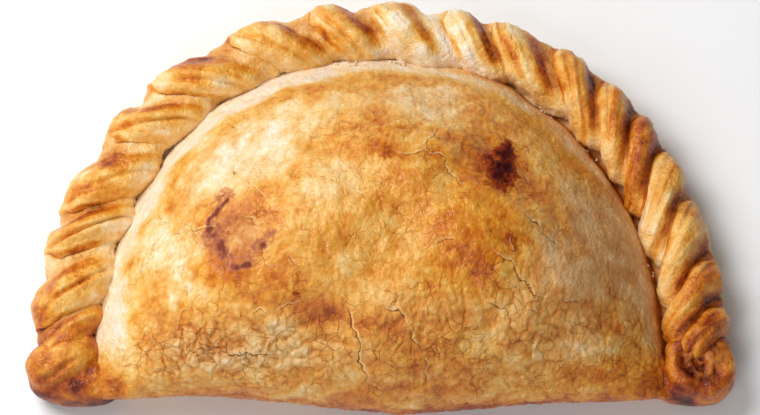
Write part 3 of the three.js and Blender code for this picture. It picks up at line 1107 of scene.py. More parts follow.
FOLDS: tuple[Fold, ...] = (
    Fold(8.5, 6.0, 0.2, 0.2, 0.4, 0.46, 0.1, 0.1, -0.02, 0.4),
    Fold(13.0, 7.2, 0.8, 0.2, 0.4, 0.34, 0.16, 0.22, -0.06, 0.15, 0.9),
    Fold(9.5, 5.8, 1.0, 0.2, 0.42, 0.3, 0.2, 0.18, -0.02, 0.15),
    Fold(14.5, 8.2, 0.6, 0.2, 0.4, 0.3, 0.2, 0.22, -0.03, 0.15, 0.85),
    Fold(13.0, 5.5, 1.0, 0.15, 0.42, 0.29, 0.2, 0.18, -0.02, 0.15, 0.85),
    Fold(15.0, 8.6, 0.9, 0.15, 0.3, 0.28, 0.26, 0.24, -0.02, 0.15, 0.8),
    Fold(14.0, 6.6, 0.9, 0.15, 0.3, 0.2, 0.26, 0.32, 0.0, 0.15, 0.9),
    Fold(11.0, 5.0, 0.6, 0.15, 0.3, 0.18, 0.44, 0.12, 0.08, 0.25, 0.82),
    Fold(13.5, 4.8, 0.4, 0.15, 0.3, 0.12, 0.5, -0.02, 0.08, 0.2, 0.58),
    Fold(9.5, 5.0, 0.3, 0.15, 0.3, 0.19, 0.5, 0.02, 0.14, 0.35, 0.9),
    Fold(13.0, 7.7, 0.3, 0.15, 0.3, 0.29, 0.4, 0.06, 0.14, 0.4, 0.8),
    Fold(10.0, 9.5, 0.4, 0.15, 0.3, 0.34, 0.36, 0.1, 0.14, 0.6),
    Fold(8.5, 10.0, 0.4, 0.15, 0.3, 0.38, 0.34, 0.1, 0.14, 0.7),
    Fold(7.5, 10.0, 0.0, 0.15, 0.3, 0.56, 0.18, 0.06, 0.1, 0.7),
    Fold(10.5, 9.6, 0.4, 0.15, 0.3, 0.29, 0.34, 0.08, 0.16, 0.8),
    Fold(10.0, 11.0, 0.4, 0.15, 0.3, 0.38, 0.32, 0.12, 0.14, 0.8),
    Fold(9.0, 8.0, 0.4, 0.15, 0.35, 0.46, 0.24, 0.1, 0.12, 0.8),
    Fold(9.0, 8.0, 0.0, 0.15, 0.3, 0.56, 0.18, 0.06, 0.1, 0.6),
)


@dataclass(frozen=True)
class RopeRelief:
    """Heights of the rope's relief over its folds, and the size of its lumps, mm."""

    waves: float = 0.5
    strand: float = 0.3
    fine: float = 0.1
    lump: float = 0.2
    lump_size: float = 1.9
    wrinkle: float = 0.22


@dataclass(frozen=True)
class RopeBakingAndShade:
    """How much each feature of the rope adds to its fold's bake. Under, crease, wrinkle and raised are painted
    shade: darker under each lip and along the foot of each hump, in the creases and wrinkles and in the
    hollows of the relief, and paler on its lumps.

    Raised is for each mm of relief, and ends is the bake of the rope's two end points.
    """

    lip: float = -0.09
    under: float = 0.3
    inner: float = -0.1
    streak: float = 0.24
    broad: float = 0.12
    fine: float = 0.08
    crease: float = 0.09
    wrinkle: float = 0.12
    raised: float = -0.14
    ends: float = 0.6


@dataclass
class RopeCrimp:
    """The curved edge, twisted by hand into a rope of folds."""

    moon: HalfMoon
    section: FoldSection = FoldSection()
    dough: RopeRelief = RopeRelief()
    browning_and_shade: RopeBakingAndShade = RopeBakingAndShade()
    folds: tuple[Fold, ...] = FOLDS
    first: float = 1.4
    lip_bend: float = 0.6
    twist_outside: float = 0.62
    twist_inside: float = 2.0
    crease_depth: float = 0.9
    uneven: float = 0.06
    cap: float = 5.0
    spots: int = 50
    crowd: float = 0.55
    inner_swell: float = 0.27
    top_rows: int = 60
    under_rows: int = 20
    spare: int = 2
    past_ends: int = 12
    crease_wide: float = 0.045
    ahead: float = 0.5
    strand_apart: float = 7.0
    strand_wide: float = 11.0
    strand_long: float = 2.2
    flake: float = 0.12

    def fold_start(self, fold: Array) -> Array:
        """Where a place in the row of folds starts along the rope: the lengths before it, added up.

        The row goes on past both ends with folds as long as the first and the last.

        Args:
            fold: place in the row of folds.

        Returns:
            The length along the rope, mm.
        """
        many = len(self.folds)
        number = np.arange(-self.past_ends, many + self.past_ends + 1)
        size = np.array([self.folds[min(max(k, 0), many - 1)].length for k in number[:-1]])
        start = np.concatenate([[0], np.cumsum(size)])
        start = start - start[self.past_ends] + self.first
        return np.interp(fold, number, start)

    def top_line(self, fold: Array, angle: Array) -> Array:
        """A fold's line over the top: the fold's start plus its slant times the bent way across.

        Args:
            fold: place in the row of folds.
            angle: angle round the rope, from outside over the top.

        Returns:
            The length along the rope, mm.
        """
        slants = [one.slant for one in self.folds]
        slant = np.interp(fold, np.arange(len(slants)), slants)
        across = (1 - np.cos(angle)) / 2
        crossed = lerp(across, across * across, self.lip_bend)
        return self.fold_start(fold) + slant * (crossed - 0.5)

    def along(self, fold: Array, angle: Array) -> Array:
        """Place along the rope of a line of the folds at an angle round it, from outside over the top.

        A line slants forward over the top, more steeply on the inside, and underneath runs on to the outside
        of the next fold.

        Args:
            fold: place in the row of folds.
            angle: angle round the rope.

        Returns:
            The length along the rope, mm.
        """
        top = self.top_line(fold, np.minimum(angle, math.pi))
        under = np.maximum(angle / math.pi - 1, 0)
        later = lerp(self.top_line(fold, math.pi), self.top_line(fold + 1, 0.0), under)
        return np.where(angle <= math.pi, top, later)

    def trait(self, name: str, fold: Array) -> Array:
        """One trait of the fold that each column belongs to."""
        values = np.array([getattr(one, name) for one in self.folds])
        return values[np.clip(fold, 0, len(values) - 1).astype(int)]

    @staticmethod
    def draw(fold: Array, purpose: int) -> Array:
        """The same number from -1 to 1 each time for a fold and a purpose."""
        wave = np.sin(fold * 12.9898 + purpose * 78.233) * 43758.5453
        return 2 * (wave - np.floor(wave)) - 1

    def creases(self, fold: Array, twisted: Array, ring: Array) -> Array:
        """How deep in its fold's crease each point lies: a bell across a line that slants over the top.

        Args:
            fold: which fold, by column.
            twisted: place in the fold's section.
            ring: angle round the rope, by row.

        Returns:
            The depth, 0 to 1.
        """
        across = (1 - np.cos(ring)) / 2
        middle = lerp(self.trait("crease_outside", fold), self.trait("crease_inside", fold), across)
        crease = self.trait("crease", fold) * bell(twisted - middle, self.crease_wide)
        return crease * smooth(0.15, 0.7, ring) * smooth(3.0, 2.4, ring)

    def heights(self, share: Array, twisted: Array, plump: Array, ring: Array) -> Array:
        """How high the folds stand: the section over the top, run into those of the outer and inner sides.

        Args:
            share: place along the fold, by column.
            twisted: place in the fold's section.
            plump: how full the fold is, by column.
            ring: angle round the rope, by row.

        Returns:
            The height as a share of the way from the trough to the crest.
        """
        section = self.section
        shapes = (
            (section.height, section.plump_height, twisted),
            (section.outer, section.plump_outer, share),
            (section.inner, section.plump_inner, twisted),
        )
        over, outer, inner = [
            lerp(section.read(hump, at), section.read(sausage, at), plump) for hump, sausage, at in shapes
        ]
        outside = np.where(ring < math.pi, smooth(0.9, 0.1, ring), np.maximum(0, np.cos(ring)))
        within = np.maximum(0, -np.cos(ring)) * (ring < 1.5 * math.pi)
        return lerp(lerp(over, outer, outside), inner, within)

    def round_line(self, along: Array, ring: Array, reach: Array) -> Array:
        """Points round the rope's line: ellipses across it, wider inside by the swell and level underneath.

        Args:
            along: length along the rope, mm.
            ring: angle round the rope, by row.
            reach: distance from the rope's line, mm.

        Returns:
            The points, (rows, columns, 3).
        """
        moon = self.moon
        line_x, line_y, run = moon.rope_line()
        held = np.clip(along, 0, run[-1])
        run_x, run_y = [
            np.interp(held + self.ahead, run, line) - np.interp(held - self.ahead, run, line)
            for line in (line_x, line_y)
        ]
        size = np.hypot(run_x, run_y)
        out_x, out_y = -run_y / size, run_x / size
        swell = self.inner_swell * smooth(70, 25, along) * smooth(1, 10, along)
        sideways = reach * np.cos(ring) * np.where(np.cos(ring) < 0, 1 + swell, 1)
        x = np.interp(held, run, line_x) + out_x * sideways
        y = np.interp(held, run, line_y) + out_y * sideways
        z = np.maximum(moon.rope_height + reach * moon.flat * np.sin(ring), moon.floor)
        return np.stack([x, y, z], axis=-1)

    def build(self, finish: "CrustFinish") -> bpy.types.Object:
        """Makes the rope: each column of points follows one line of a fold round the section.

        Args:
            finish: the crust finish.

        Returns:
            The piece.
        """
        moon = self.moon
        total = moon.rope_line()[2][-1]
        many = len(self.folds)
        even = np.arange((many + 2 * self.spare) * self.spots + 1) / self.spots - self.spare
        place = even - self.crowd * np.sin(TURN * even) / TURN
        fold = np.floor(even + 1e-9)
        share = np.clip(place - fold, 0, 1)
        ring = np.concatenate([
            np.linspace(0, math.pi, self.top_rows, endpoint=False),
            np.linspace(math.pi, TURN, self.under_rows, endpoint=False),
        ])[:, None]
        plump = self.trait("plump", fold)
        across = (1 - np.cos(ring)) / 2
        turn = lerp(math.log(self.twist_outside), math.log(self.twist_inside), across)
        twisted = share ** (self.trait("early", fold) * np.exp(turn * (1 - 0.7 * plump)))
        seen = np.where(ring < math.pi, smooth(0.2, 1.0, ring), 0)
        lean = self.section.read(self.section.lean, twisted) * seen
        along = self.along(place + lean, ring)
        calm = np.maximum(smooth(10.5, 6.0, along), smooth(6, 3, total - along))
        crease = self.creases(fold, twisted, ring)
        height = lerp(self.heights(share, twisted, plump, ring), 0.4, 0.8 * calm)
        crest = moon.crest * (1 + self.uneven * self.draw(fold, 1) * seen)
        radius = lerp(moon.trough, crest, height) - self.crease_depth * crease * (1 - calm)
        bare = self.round_line(along, ring, radius).reshape(-1, 3)
        strand = (fold * self.strand_apart + twisted * self.strand_wide, ring * self.strand_long, 0.0 * ring)
        strand = np.stack(np.broadcast_arrays(*strand), axis=-1).reshape(-1, 3)
        inner_part = smooth(0, 0.12, share) * smooth(1, 0.88, share)
        joined = lerp(inner_part + 0 * ring, 1, seen).reshape(-1)
        lumpy = (smooth(78, 45, along) * lerp(0.5, 1, smooth(0.6, 0.75, twisted))).reshape(-1)
        folded = (lerp(1, 0.5, plump) * smooth(0.2, 0.7, ring) * smooth(2.9, 2.3, ring)).reshape(-1)
        relief, wrinkle = self.relief(bare, strand, joined, lumpy, folded)
        inside = np.clip(np.minimum(along, total - along) / self.cap, 0, 1)
        radius = (radius + relief.reshape(radius.shape)) * np.sqrt(1 - (1 - inside) ** 2)
        points = self.round_line(along, ring, radius).reshape(-1, 3)
        bake, dry = self.baking_and_shade(bare, place, fold, twisted, ring, strand)
        # Painted shade: darker in the folds' creases and wrinkles, paler on raised relief and darker in its
        # hollows.
        browning_and_shade = self.browning_and_shade
        bake = bake + browning_and_shade.crease * (crease * (1 - calm)).reshape(-1)
        bake = np.clip(bake + browning_and_shade.wrinkle * wrinkle + browning_and_shade.raised * relief, 0, 1)
        return self.close(points, along, bake, dry).make("rope_crimp", finish, moon)

    def close(self, points: Array, along: Array, bake: Array, dry: Array) -> Surface:
        """Joins row to row, the last row to the first one a fold further on, and each end to one point.

        Args:
            points: points of the rope, row after row.
            along: length along the rope, mm, (rows, columns).
            bake: how far each point is baked.
            dry: how dry each point is.

        Returns:
            The closed rope, without the points past its ends.
        """
        moon = self.moon
        total = moon.rope_line()[2][-1]
        numbers = np.arange(len(points)).reshape(along.shape)
        start, end = len(points), len(points) + 1
        numbers = np.where(along <= 0, start, np.where(along >= total, end, numbers))
        wrapped = np.concatenate([numbers[0, self.spots:], np.full(self.spots, end)])
        numbers = np.concatenate([numbers, wrapped[None]])
        ends = np.array([[-moon.half_width, 0, moon.rope_height], [moon.half_width, 0, moon.rope_height]])
        faces = sound_faces(grid_faces(numbers)[:, ::-1])
        used = np.unique(np.concatenate([block.ravel() for block in faces]))
        renumber = np.zeros(len(points) + 2, int)
        renumber[used] = np.arange(len(used))
        bake = np.append(bake, [self.browning_and_shade.ends] * 2)[used]
        values = plain_values(bake, np.append(dry, [0, 0])[used], self.flake)
        every = np.concatenate([points, ends])[used]
        return Surface(every, [renumber[block] for block in faces], values)

    def relief(
        self, bare: Array, strand: Array, joined: Array, lumpy: Array, folded: Array
    ) -> tuple[Array, Array]:
        """Height of the dough over its folds: waves, ridged strands along each fold, lumps and thin wrinkles.

        Args:
            bare: points of the folds.
            strand: each point's place across and along its fold.
            joined: how fully the strands show, so that they meet from fold to fold.
            lumpy: how fully the lumps show.
            folded: how fully the wrinkles show.

        Returns:
            The height at each point, mm, and how deep in a wrinkle it lies, 0 to 1.
        """
        dough = self.dough
        height = dough.waves * Grain.waves(bare, 5.0, 201, 3)
        height -= dough.strand * np.abs(Grain.waves(strand * np.array([1.0, 0.4, 1]), 2.2, 202, 2)) * joined
        height += dough.fine * Grain.waves(bare, 1.8, 203, 3)
        near, later, _ = Grain.cells(bare, dough.lump_size, 205)
        height += dough.lump * (smooth(0.0, 0.5, later - near) - 0.6) * lumpy
        wrinkle = smooth(0.16, 0.0, np.abs(Grain.waves(strand * np.array([1.5, 0.5, 1]), 2.4, 206, 2)))
        wrinkle = wrinkle * smooth(-0.3, 0.5, Grain.waves(bare, 6.0, 207, 2)) * folded
        return height - dough.wrinkle * wrinkle, wrinkle

    def baking_and_shade(
        self, points: Array, place: Array, fold: Array, spot: Array, ring: Array, strand: Array
    ) -> tuple[Array, Array]:
        """How far the rope is baked: browner crests, pale lips, facets and inner side, with painted shade down
        the far slopes and under the lips.

        Args:
            points: points of the rope.
            place: place in the row of folds, by column.
            fold: which fold, by column.
            spot: place in the fold's section.
            ring: angle round the rope, by row.
            strand: each point's place across and along its fold.

        Returns:
            The bake and the dryness at each point.
        """
        many = len(self.folds)
        browning_and_shade = self.browning_and_shade
        plump = self.trait("plump", fold)
        spot = spot + 0.06 * Grain.waves(points, 5.0, 210, 3).reshape(spot.shape)
        top = smooth(0.1, 0.5, ring) * smooth(2.8, 2.0, ring)
        # Painted shade: each fold's far slope is made browner down into its valley, by the fold's slope trait.
        slope = bell(spot - lerp(0.6, 0.84, plump), lerp(0.12, 0.085, plump)) * top
        flat = smooth(lerp(0.64, 0.86, plump), lerp(0.7, 0.92, plump), spot) * smooth(2.8, 1.5, ring)
        lip = bell(spot - 0.04, 0.06) * smooth(0.3, 0.8, ring) * smooth(2.8, 2.2, ring)
        patchy = smooth(-0.6, 0.5, Grain.waves(points, 3.4, 216, 3)).reshape(spot.shape)
        crest = bell(spot - 0.36, 0.24) * bell(ring - 0.95, 0.75) * patchy
        # Painted shade under each lip, and in a thin line along the foot of each hump.
        under = smooth(0.08, 0.0, np.minimum(np.abs(spot), np.abs(1 - spot))) * top
        facet = flat * smooth(1.0, 0.95, spot)
        under = under + 0.4 * bell(spot - lerp(0.665, 0.9, plump), 0.03) * top
        inner = smooth(1.9, 2.7, ring) * smooth(0, 2, place) * smooth(many, many - 3, place)
        bake = self.trait("ground", fold) + self.trait("slope", fold) * slope
        bake = bake + self.trait("facet", fold) * facet + self.trait("crest", fold) * crest
        bake = bake + browning_and_shade.lip * lip + browning_and_shade.under * under + browning_and_shade.inner * inner
        streak = browning_and_shade.streak * Grain.waves(strand * np.array([1.0, 0.35, 1]), 2.0, 214, 3)
        bake = bake.reshape(-1) + streak * smooth(-1, 1, Grain.waves(points, 7.0, 215, 2))
        bake = bake + browning_and_shade.broad * Grain.waves(points, 5.0, 211, 3)
        bake = bake + browning_and_shade.fine * Grain.waves(points, 1.9, 212, 3)
        dry = lerp(0.1, 0.35, plump) + 0.45 * facet
        return np.clip(bake, 0, 1), dry.reshape(-1)


@dataclass(frozen=True)
class Lobe:
    """One swelling of a corner: an ellipsoid by its middle and its half sizes, mm.

    It is squarer for a higher power, turned in plan by an angle in degrees, and has a bake of its own.
    """

    middle: Vector
    half: Vector
    power: float
    bake: float
    turn: float = 0.0


@dataclass(frozen=True)
class Groove:
    """A crease of a corner: the plan places that it runs through, its depth and half its width, mm."""

    path: tuple[tuple[float, float], ...]
    deep: float
    wide: float


@dataclass(frozen=True)
class Curl:
    """A curled end: a lumpy hollow inside a smooth rim that is open towards one direction, in degrees."""

    at: tuple[float, float]
    radius: float
    deep: float
    opening: float


@dataclass
class CornerKnot:
    """One corner, where the rope's end is tucked into the crust: swellings that run into each other.

    Creases and small pits are cut into it, and one end may be curled.
    """

    moon: HalfMoon
    name: str
    middle: Vector
    lobes: tuple[Lobe, ...]
    grooves: tuple[Groove, ...]
    pits: tuple[tuple[float, float], ...]
    curl: Curl | None = None
    pit_depth: float = 0.6
    pit_width: float = 0.75
    lump_size: float = 2.6
    dry: float = 0.25
    dry_inside: float = 0.4
    flake: float = 0.12
    sharp: float = 22.0
    farthest: float = 14.0
    reach_steps: int = 141
    round_steps: int = 240
    down_steps: int = 130

    def reach(self, direction: Array) -> tuple[Array, Array]:
        """How far the corner reaches in each direction: a soft greatest of the lobes' far sides.

        Args:
            direction: unit directions from the middle, (n, 3).

        Returns:
            The reach, mm, and the bake of the lobe that reaches farthest.
        """
        total = np.zeros(len(direction))
        baked = np.zeros(len(direction))
        steps = np.linspace(0, self.farthest, self.reach_steps)
        for lobe in self.lobes:
            far = np.zeros(len(direction))
            cos, sin = math.cos(math.radians(lobe.turn)), math.sin(math.radians(lobe.turn))
            square = np.array([[cos, -sin, 0], [sin, cos, 0], [0, 0, 1]])
            start = (np.array(self.middle) - np.array(lobe.middle)) @ square
            ahead = direction @ square
            before = np.full(len(direction), 9.0)
            for step in steps:
                size = (np.abs((start + step * ahead) / np.array(lobe.half)) ** lobe.power).sum(axis=1)
                leaves = (before < 1) & (size >= 1)
                share = (1 - before) / np.maximum(size - before, 1e-9)
                far = np.where(leaves, step - steps[1] * (1 - share), far)
                before = size
            total += far**self.sharp
            baked += lobe.bake * far**self.sharp
        return total ** (1 / self.sharp), baked / total

    def build(self, finish: "CrustFinish") -> bpy.types.Object:
        """Makes the corner: its reach in every direction, less its creases, pits and curl, with soft waves.

        Args:
            finish: the crust finish.

        Returns:
            The piece.
        """
        unit, quads, fans = ball(self.round_steps, self.down_steps)
        reach, bake = self.reach(unit)
        points = np.array(self.middle) + unit * reach[:, None]
        push = 0.35 * np.stack([Grain.waves(points, 3.0, 405 + k, 2) for k in range(2)], axis=1)
        plan = points[:, :2] + push
        upper = smooth(-0.35, 0.25, unit[:, 2])
        hollow = np.zeros(len(points))
        for pit in self.pits:
            hollow = np.maximum(hollow, bell(np.linalg.norm(plan - np.array(pit), axis=1), self.pit_width))
        cut = self.pit_depth * hollow
        for groove in self.grooves:
            gap, walked = beside_line(np.array(groove.path), plan)
            taper = smooth(0, 0.25, walked) * smooth(1, 0.75, walked)
            cut = cut + groove.deep * taper * bell(gap, groove.wide)
        inside = np.zeros(len(points))
        if self.curl:
            offset = plan - np.array(self.curl.at)
            ring = np.linalg.norm(offset, axis=1)
            turned = np.arctan2(offset[:, 1], offset[:, 0]) - math.radians(self.curl.opening)
            closed = smooth(0.75, -0.1, np.cos(turned))
            inside = smooth(self.curl.radius + 0.5, self.curl.radius - 0.9, ring)
            near, later, _ = Grain.cells(points, self.lump_size, 407)
            lumps = smooth(0.0, 0.6, later - near) - 0.6
            past_rim = ring - self.curl.radius
            cut = cut + self.curl.deep * (0.9 * inside + 0.5 * bell(past_rim + 0.4, 0.6) * closed)
            cut = cut - 0.35 * inside * lumps - 0.35 * closed * bell(past_rim - 1.2, 0.8)
        relief = 0.2 * Grain.waves(points, 4.0, 401, 3) - 0.1 * np.abs(Grain.waves(points, 2.2, 404, 2))
        relief = relief - upper * cut
        points = points + unit * relief[:, None]
        points[:, 2] = np.maximum(points[:, 2], self.moon.floor)
        bake = bake + 0.24 * Grain.waves(points, 4.0, 402, 3) + 0.08 * Grain.waves(points, 1.8, 403, 3)
        # Painted shade: the upper side is darker in its grooves and pits; it is paler inside the curl.
        bake = bake + upper * (0.14 * np.clip(cut, -0.4, 1.2) + 0.12 * hollow - 0.16 * inside)
        values = plain_values(np.clip(bake, 0, 1), self.dry + self.dry_inside * inside, self.flake)
        surface = Surface(points, [quads, fans], values)
        return surface.make(self.name, finish, self.moon)


@dataclass
class SeamCrumbs:
    """Pale crumbs of dough left in the groove between the rope and the crust."""

    moon: HalfMoon
    view: PhotoView
    places: tuple[Pixel, ...] = (
        (472, 77), (506, 96), (517, 101), (525, 104), (576, 139), (597, 160), (648, 225),
    )
    strewn: int = 40
    stretch: tuple[float, float] = (0.45, 0.93)
    from_line: tuple[float, float] = (6.0, 7.2)
    sizes: tuple[float, float] = (0.1, 0.36)
    larger: float = 1.3
    uneven: float = 0.4
    dry: float = 0.9
    sides: int = 8
    rings: int = 6
    seed: int = 11

    def build(self, finish: "CrustFinish") -> bpy.types.Object:
        """Makes the crumbs: little balls of uneven reach that sit in the groove, most of them at the back.

        Args:
            finish: the crust finish.

        Returns:
            The piece.
        """
        moon = self.moon
        draw = np.random.default_rng(self.seed)
        line_x, line_y, run = moon.rope_line()
        heap = draw.uniform(*self.stretch, self.strewn // 5)
        along = run[-1] * (draw.choice(heap, self.strewn) + draw.normal(0, 0.006, self.strewn))
        spots = np.stack([np.interp(along, run, line_x), np.interp(along, run, line_y)], axis=1)
        inwards = draw.uniform(*self.from_line, self.strewn) / np.linalg.norm(spots, axis=1)
        spots = np.concatenate([self.view.drop(self.places), spots * (1 - inwards)[:, None]])
        many = len(spots)
        placed = np.arange(many) < len(self.places)
        size = draw.uniform(*self.sizes, many) * np.where(placed, self.larger, 1.0)
        centre = np.column_stack([spots, moon.crown(spots[:, 0], spots[:, 1]) + 0.35 * size])
        unit, quads, fans = ball(self.sides, self.rings)
        shape = unit * np.array([1.0, 1.0, 0.75])
        lump = 1 + self.uneven * draw.uniform(-1, 1, (many, len(unit)))
        pull = draw.uniform(0.6, 1.5, (many, 1, 3))
        points = centre[:, None] + size[:, None, None] * lump[..., None] * shape * pull
        shift = (np.arange(many) * len(unit))[:, None, None]
        quads = (quads[None] + shift).reshape(-1, 4)
        fans = (fans[None] + shift).reshape(-1, 3)
        bake = np.repeat(draw.uniform(0.0, 0.2, many), len(unit))
        surface = Surface(points.reshape(-1, 3), [quads, fans], plain_values(bake, self.dry, flake=0.0))
        return surface.make("seam_crumbs", finish, moon)


def tone(red: int, green: int, blue: int) -> tuple[float, float, float, float]:
    """A colour in the linear numbers that shaders use, by the monitor's curve of power 2.4 over a short line.

    Args:
        red: red as a monitor shows it, 0 to 255.
        green: green likewise.
        blue: blue likewise.

    Returns:
        Red, green, blue and full cover, 0 to 1.
    """
    share = np.array([red, green, blue]) / 255
    linear = np.where(share > 0.04045, ((share + 0.055) / 1.055) ** 2.4, share / 12.92)
    return (*[float(v) for v in linear], 1.0)


class NodeBench:
    """Lays out the nodes of one material."""

    def __init__(self, name: str) -> None:
        """Starts an empty material.

        Args:
            name: the material's name.
        """
        self.material = bpy.data.materials.new(name)
        self.material.use_nodes = True
        self.tree = self.material.node_tree
        self.tree.nodes.clear()

    def add(
        self, kind: str, inputs: dict[str | int, object] | None = None, **settings: object
    ) -> bpy.types.Node:
        """Adds a node, sets its options and feeds its inputs.

        Args:
            kind: the node's type.
            inputs: by socket name or number, a value or the output that feeds it.
            settings: the node's own options.

        Returns:
            The node.
        """
        node = self.tree.nodes.new(kind)
        for key, value in settings.items():
            setattr(node, key, value)
        for key, value in (inputs or {}).items():
            if isinstance(value, Socket):
                self.tree.links.new(value, node.inputs[key])
            else:
                node.inputs[key].default_value = value
        return node

    def math(self, operation: str, a: object, b: object = 0.0, c: object = 0.0) -> Socket:
        """The result of one sum."""
        return self.add("ShaderNodeMath", {0: a, 1: b, 2: c}, operation=operation).outputs[0]

    def value(self, name: str) -> Socket:
        """The piece's own value of that name."""
        return self.add("ShaderNodeAttribute", attribute_name=name).outputs["Fac"]

    def noise(self, place: object, millimetres: float, detail: float = 3.0) -> Socket:
        """Soft noise whose waves have that length."""
        inputs = {"Vector": place, "Scale": 1 / (millimetres * MM), "Detail": detail}
        return self.add("ShaderNodeTexNoise", inputs).outputs["Fac"]

    def vector(self, operation: str, a: object, b: object, c: object = (0, 0, 0)) -> Socket:
        """The result of one sum of vectors."""
        return self.add("ShaderNodeVectorMath", {0: a, 1: b, 2: c}, operation=operation).outputs[0]

    def edges(self, place: object, millimetres: float) -> Socket:
        """Distance to the nearest edge of a net of cells of that size, as a share of it."""
        inputs = {"Vector": place, "Scale": 1 / (millimetres * MM)}
        return self.add("ShaderNodeTexVoronoi", inputs, feature="DISTANCE_TO_EDGE").outputs["Distance"]

    def steps(self, place: object, millimetres: float) -> Socket:
        """One level from 0 to 1 for each cell of a net of cells of that size."""
        inputs = {"Vector": place, "Scale": 1 / (millimetres * MM)}
        return self.add("ShaderNodeTexVoronoi", inputs).outputs["Color"]

    def band(self, value: object, low: float, high: float, start: float, end: float) -> Socket:
        """A smooth climb or fall from start at low to end at high."""
        inputs = {"Value": value, "From Min": low, "From Max": high, "To Min": start, "To Max": end}
        return self.add("ShaderNodeMapRange", inputs, interpolation_type="SMOOTHSTEP").outputs[0]

    def mix(self, share: object, under: object, over: object) -> Socket:
        """One colour over another.

        Args:
            share: how fully the upper colour covers.
            under: the lower colour.
            over: the upper colour.

        Returns:
            The mixed colour.
        """
        node = self.add("ShaderNodeMix", data_type="RGBA")
        for socket, value in ((node.inputs[0], share), (node.inputs[6], under), (node.inputs[7], over)):
            if isinstance(value, Socket):
                self.tree.links.new(value, socket)
            else:
                socket.default_value = value
        return node.outputs[2]

    def ramp(self, value: object, stops: Stops) -> Socket:
        """A colour ramp that runs straight from stop to stop.

        Args:
            value: where to read it.
            stops: places on the ramp and their colours.

        Returns:
            The colour.
        """
        node = self.add("ShaderNodeValToRGB", {"Fac": value})
        elements = node.color_ramp.elements
        while len(elements) < len(stops):
            elements.new(0.5)
        for element, (place, colour) in zip(elements, stops):
            element.position = place
            element.color = tone(*colour)
        return node.outputs["Color"]


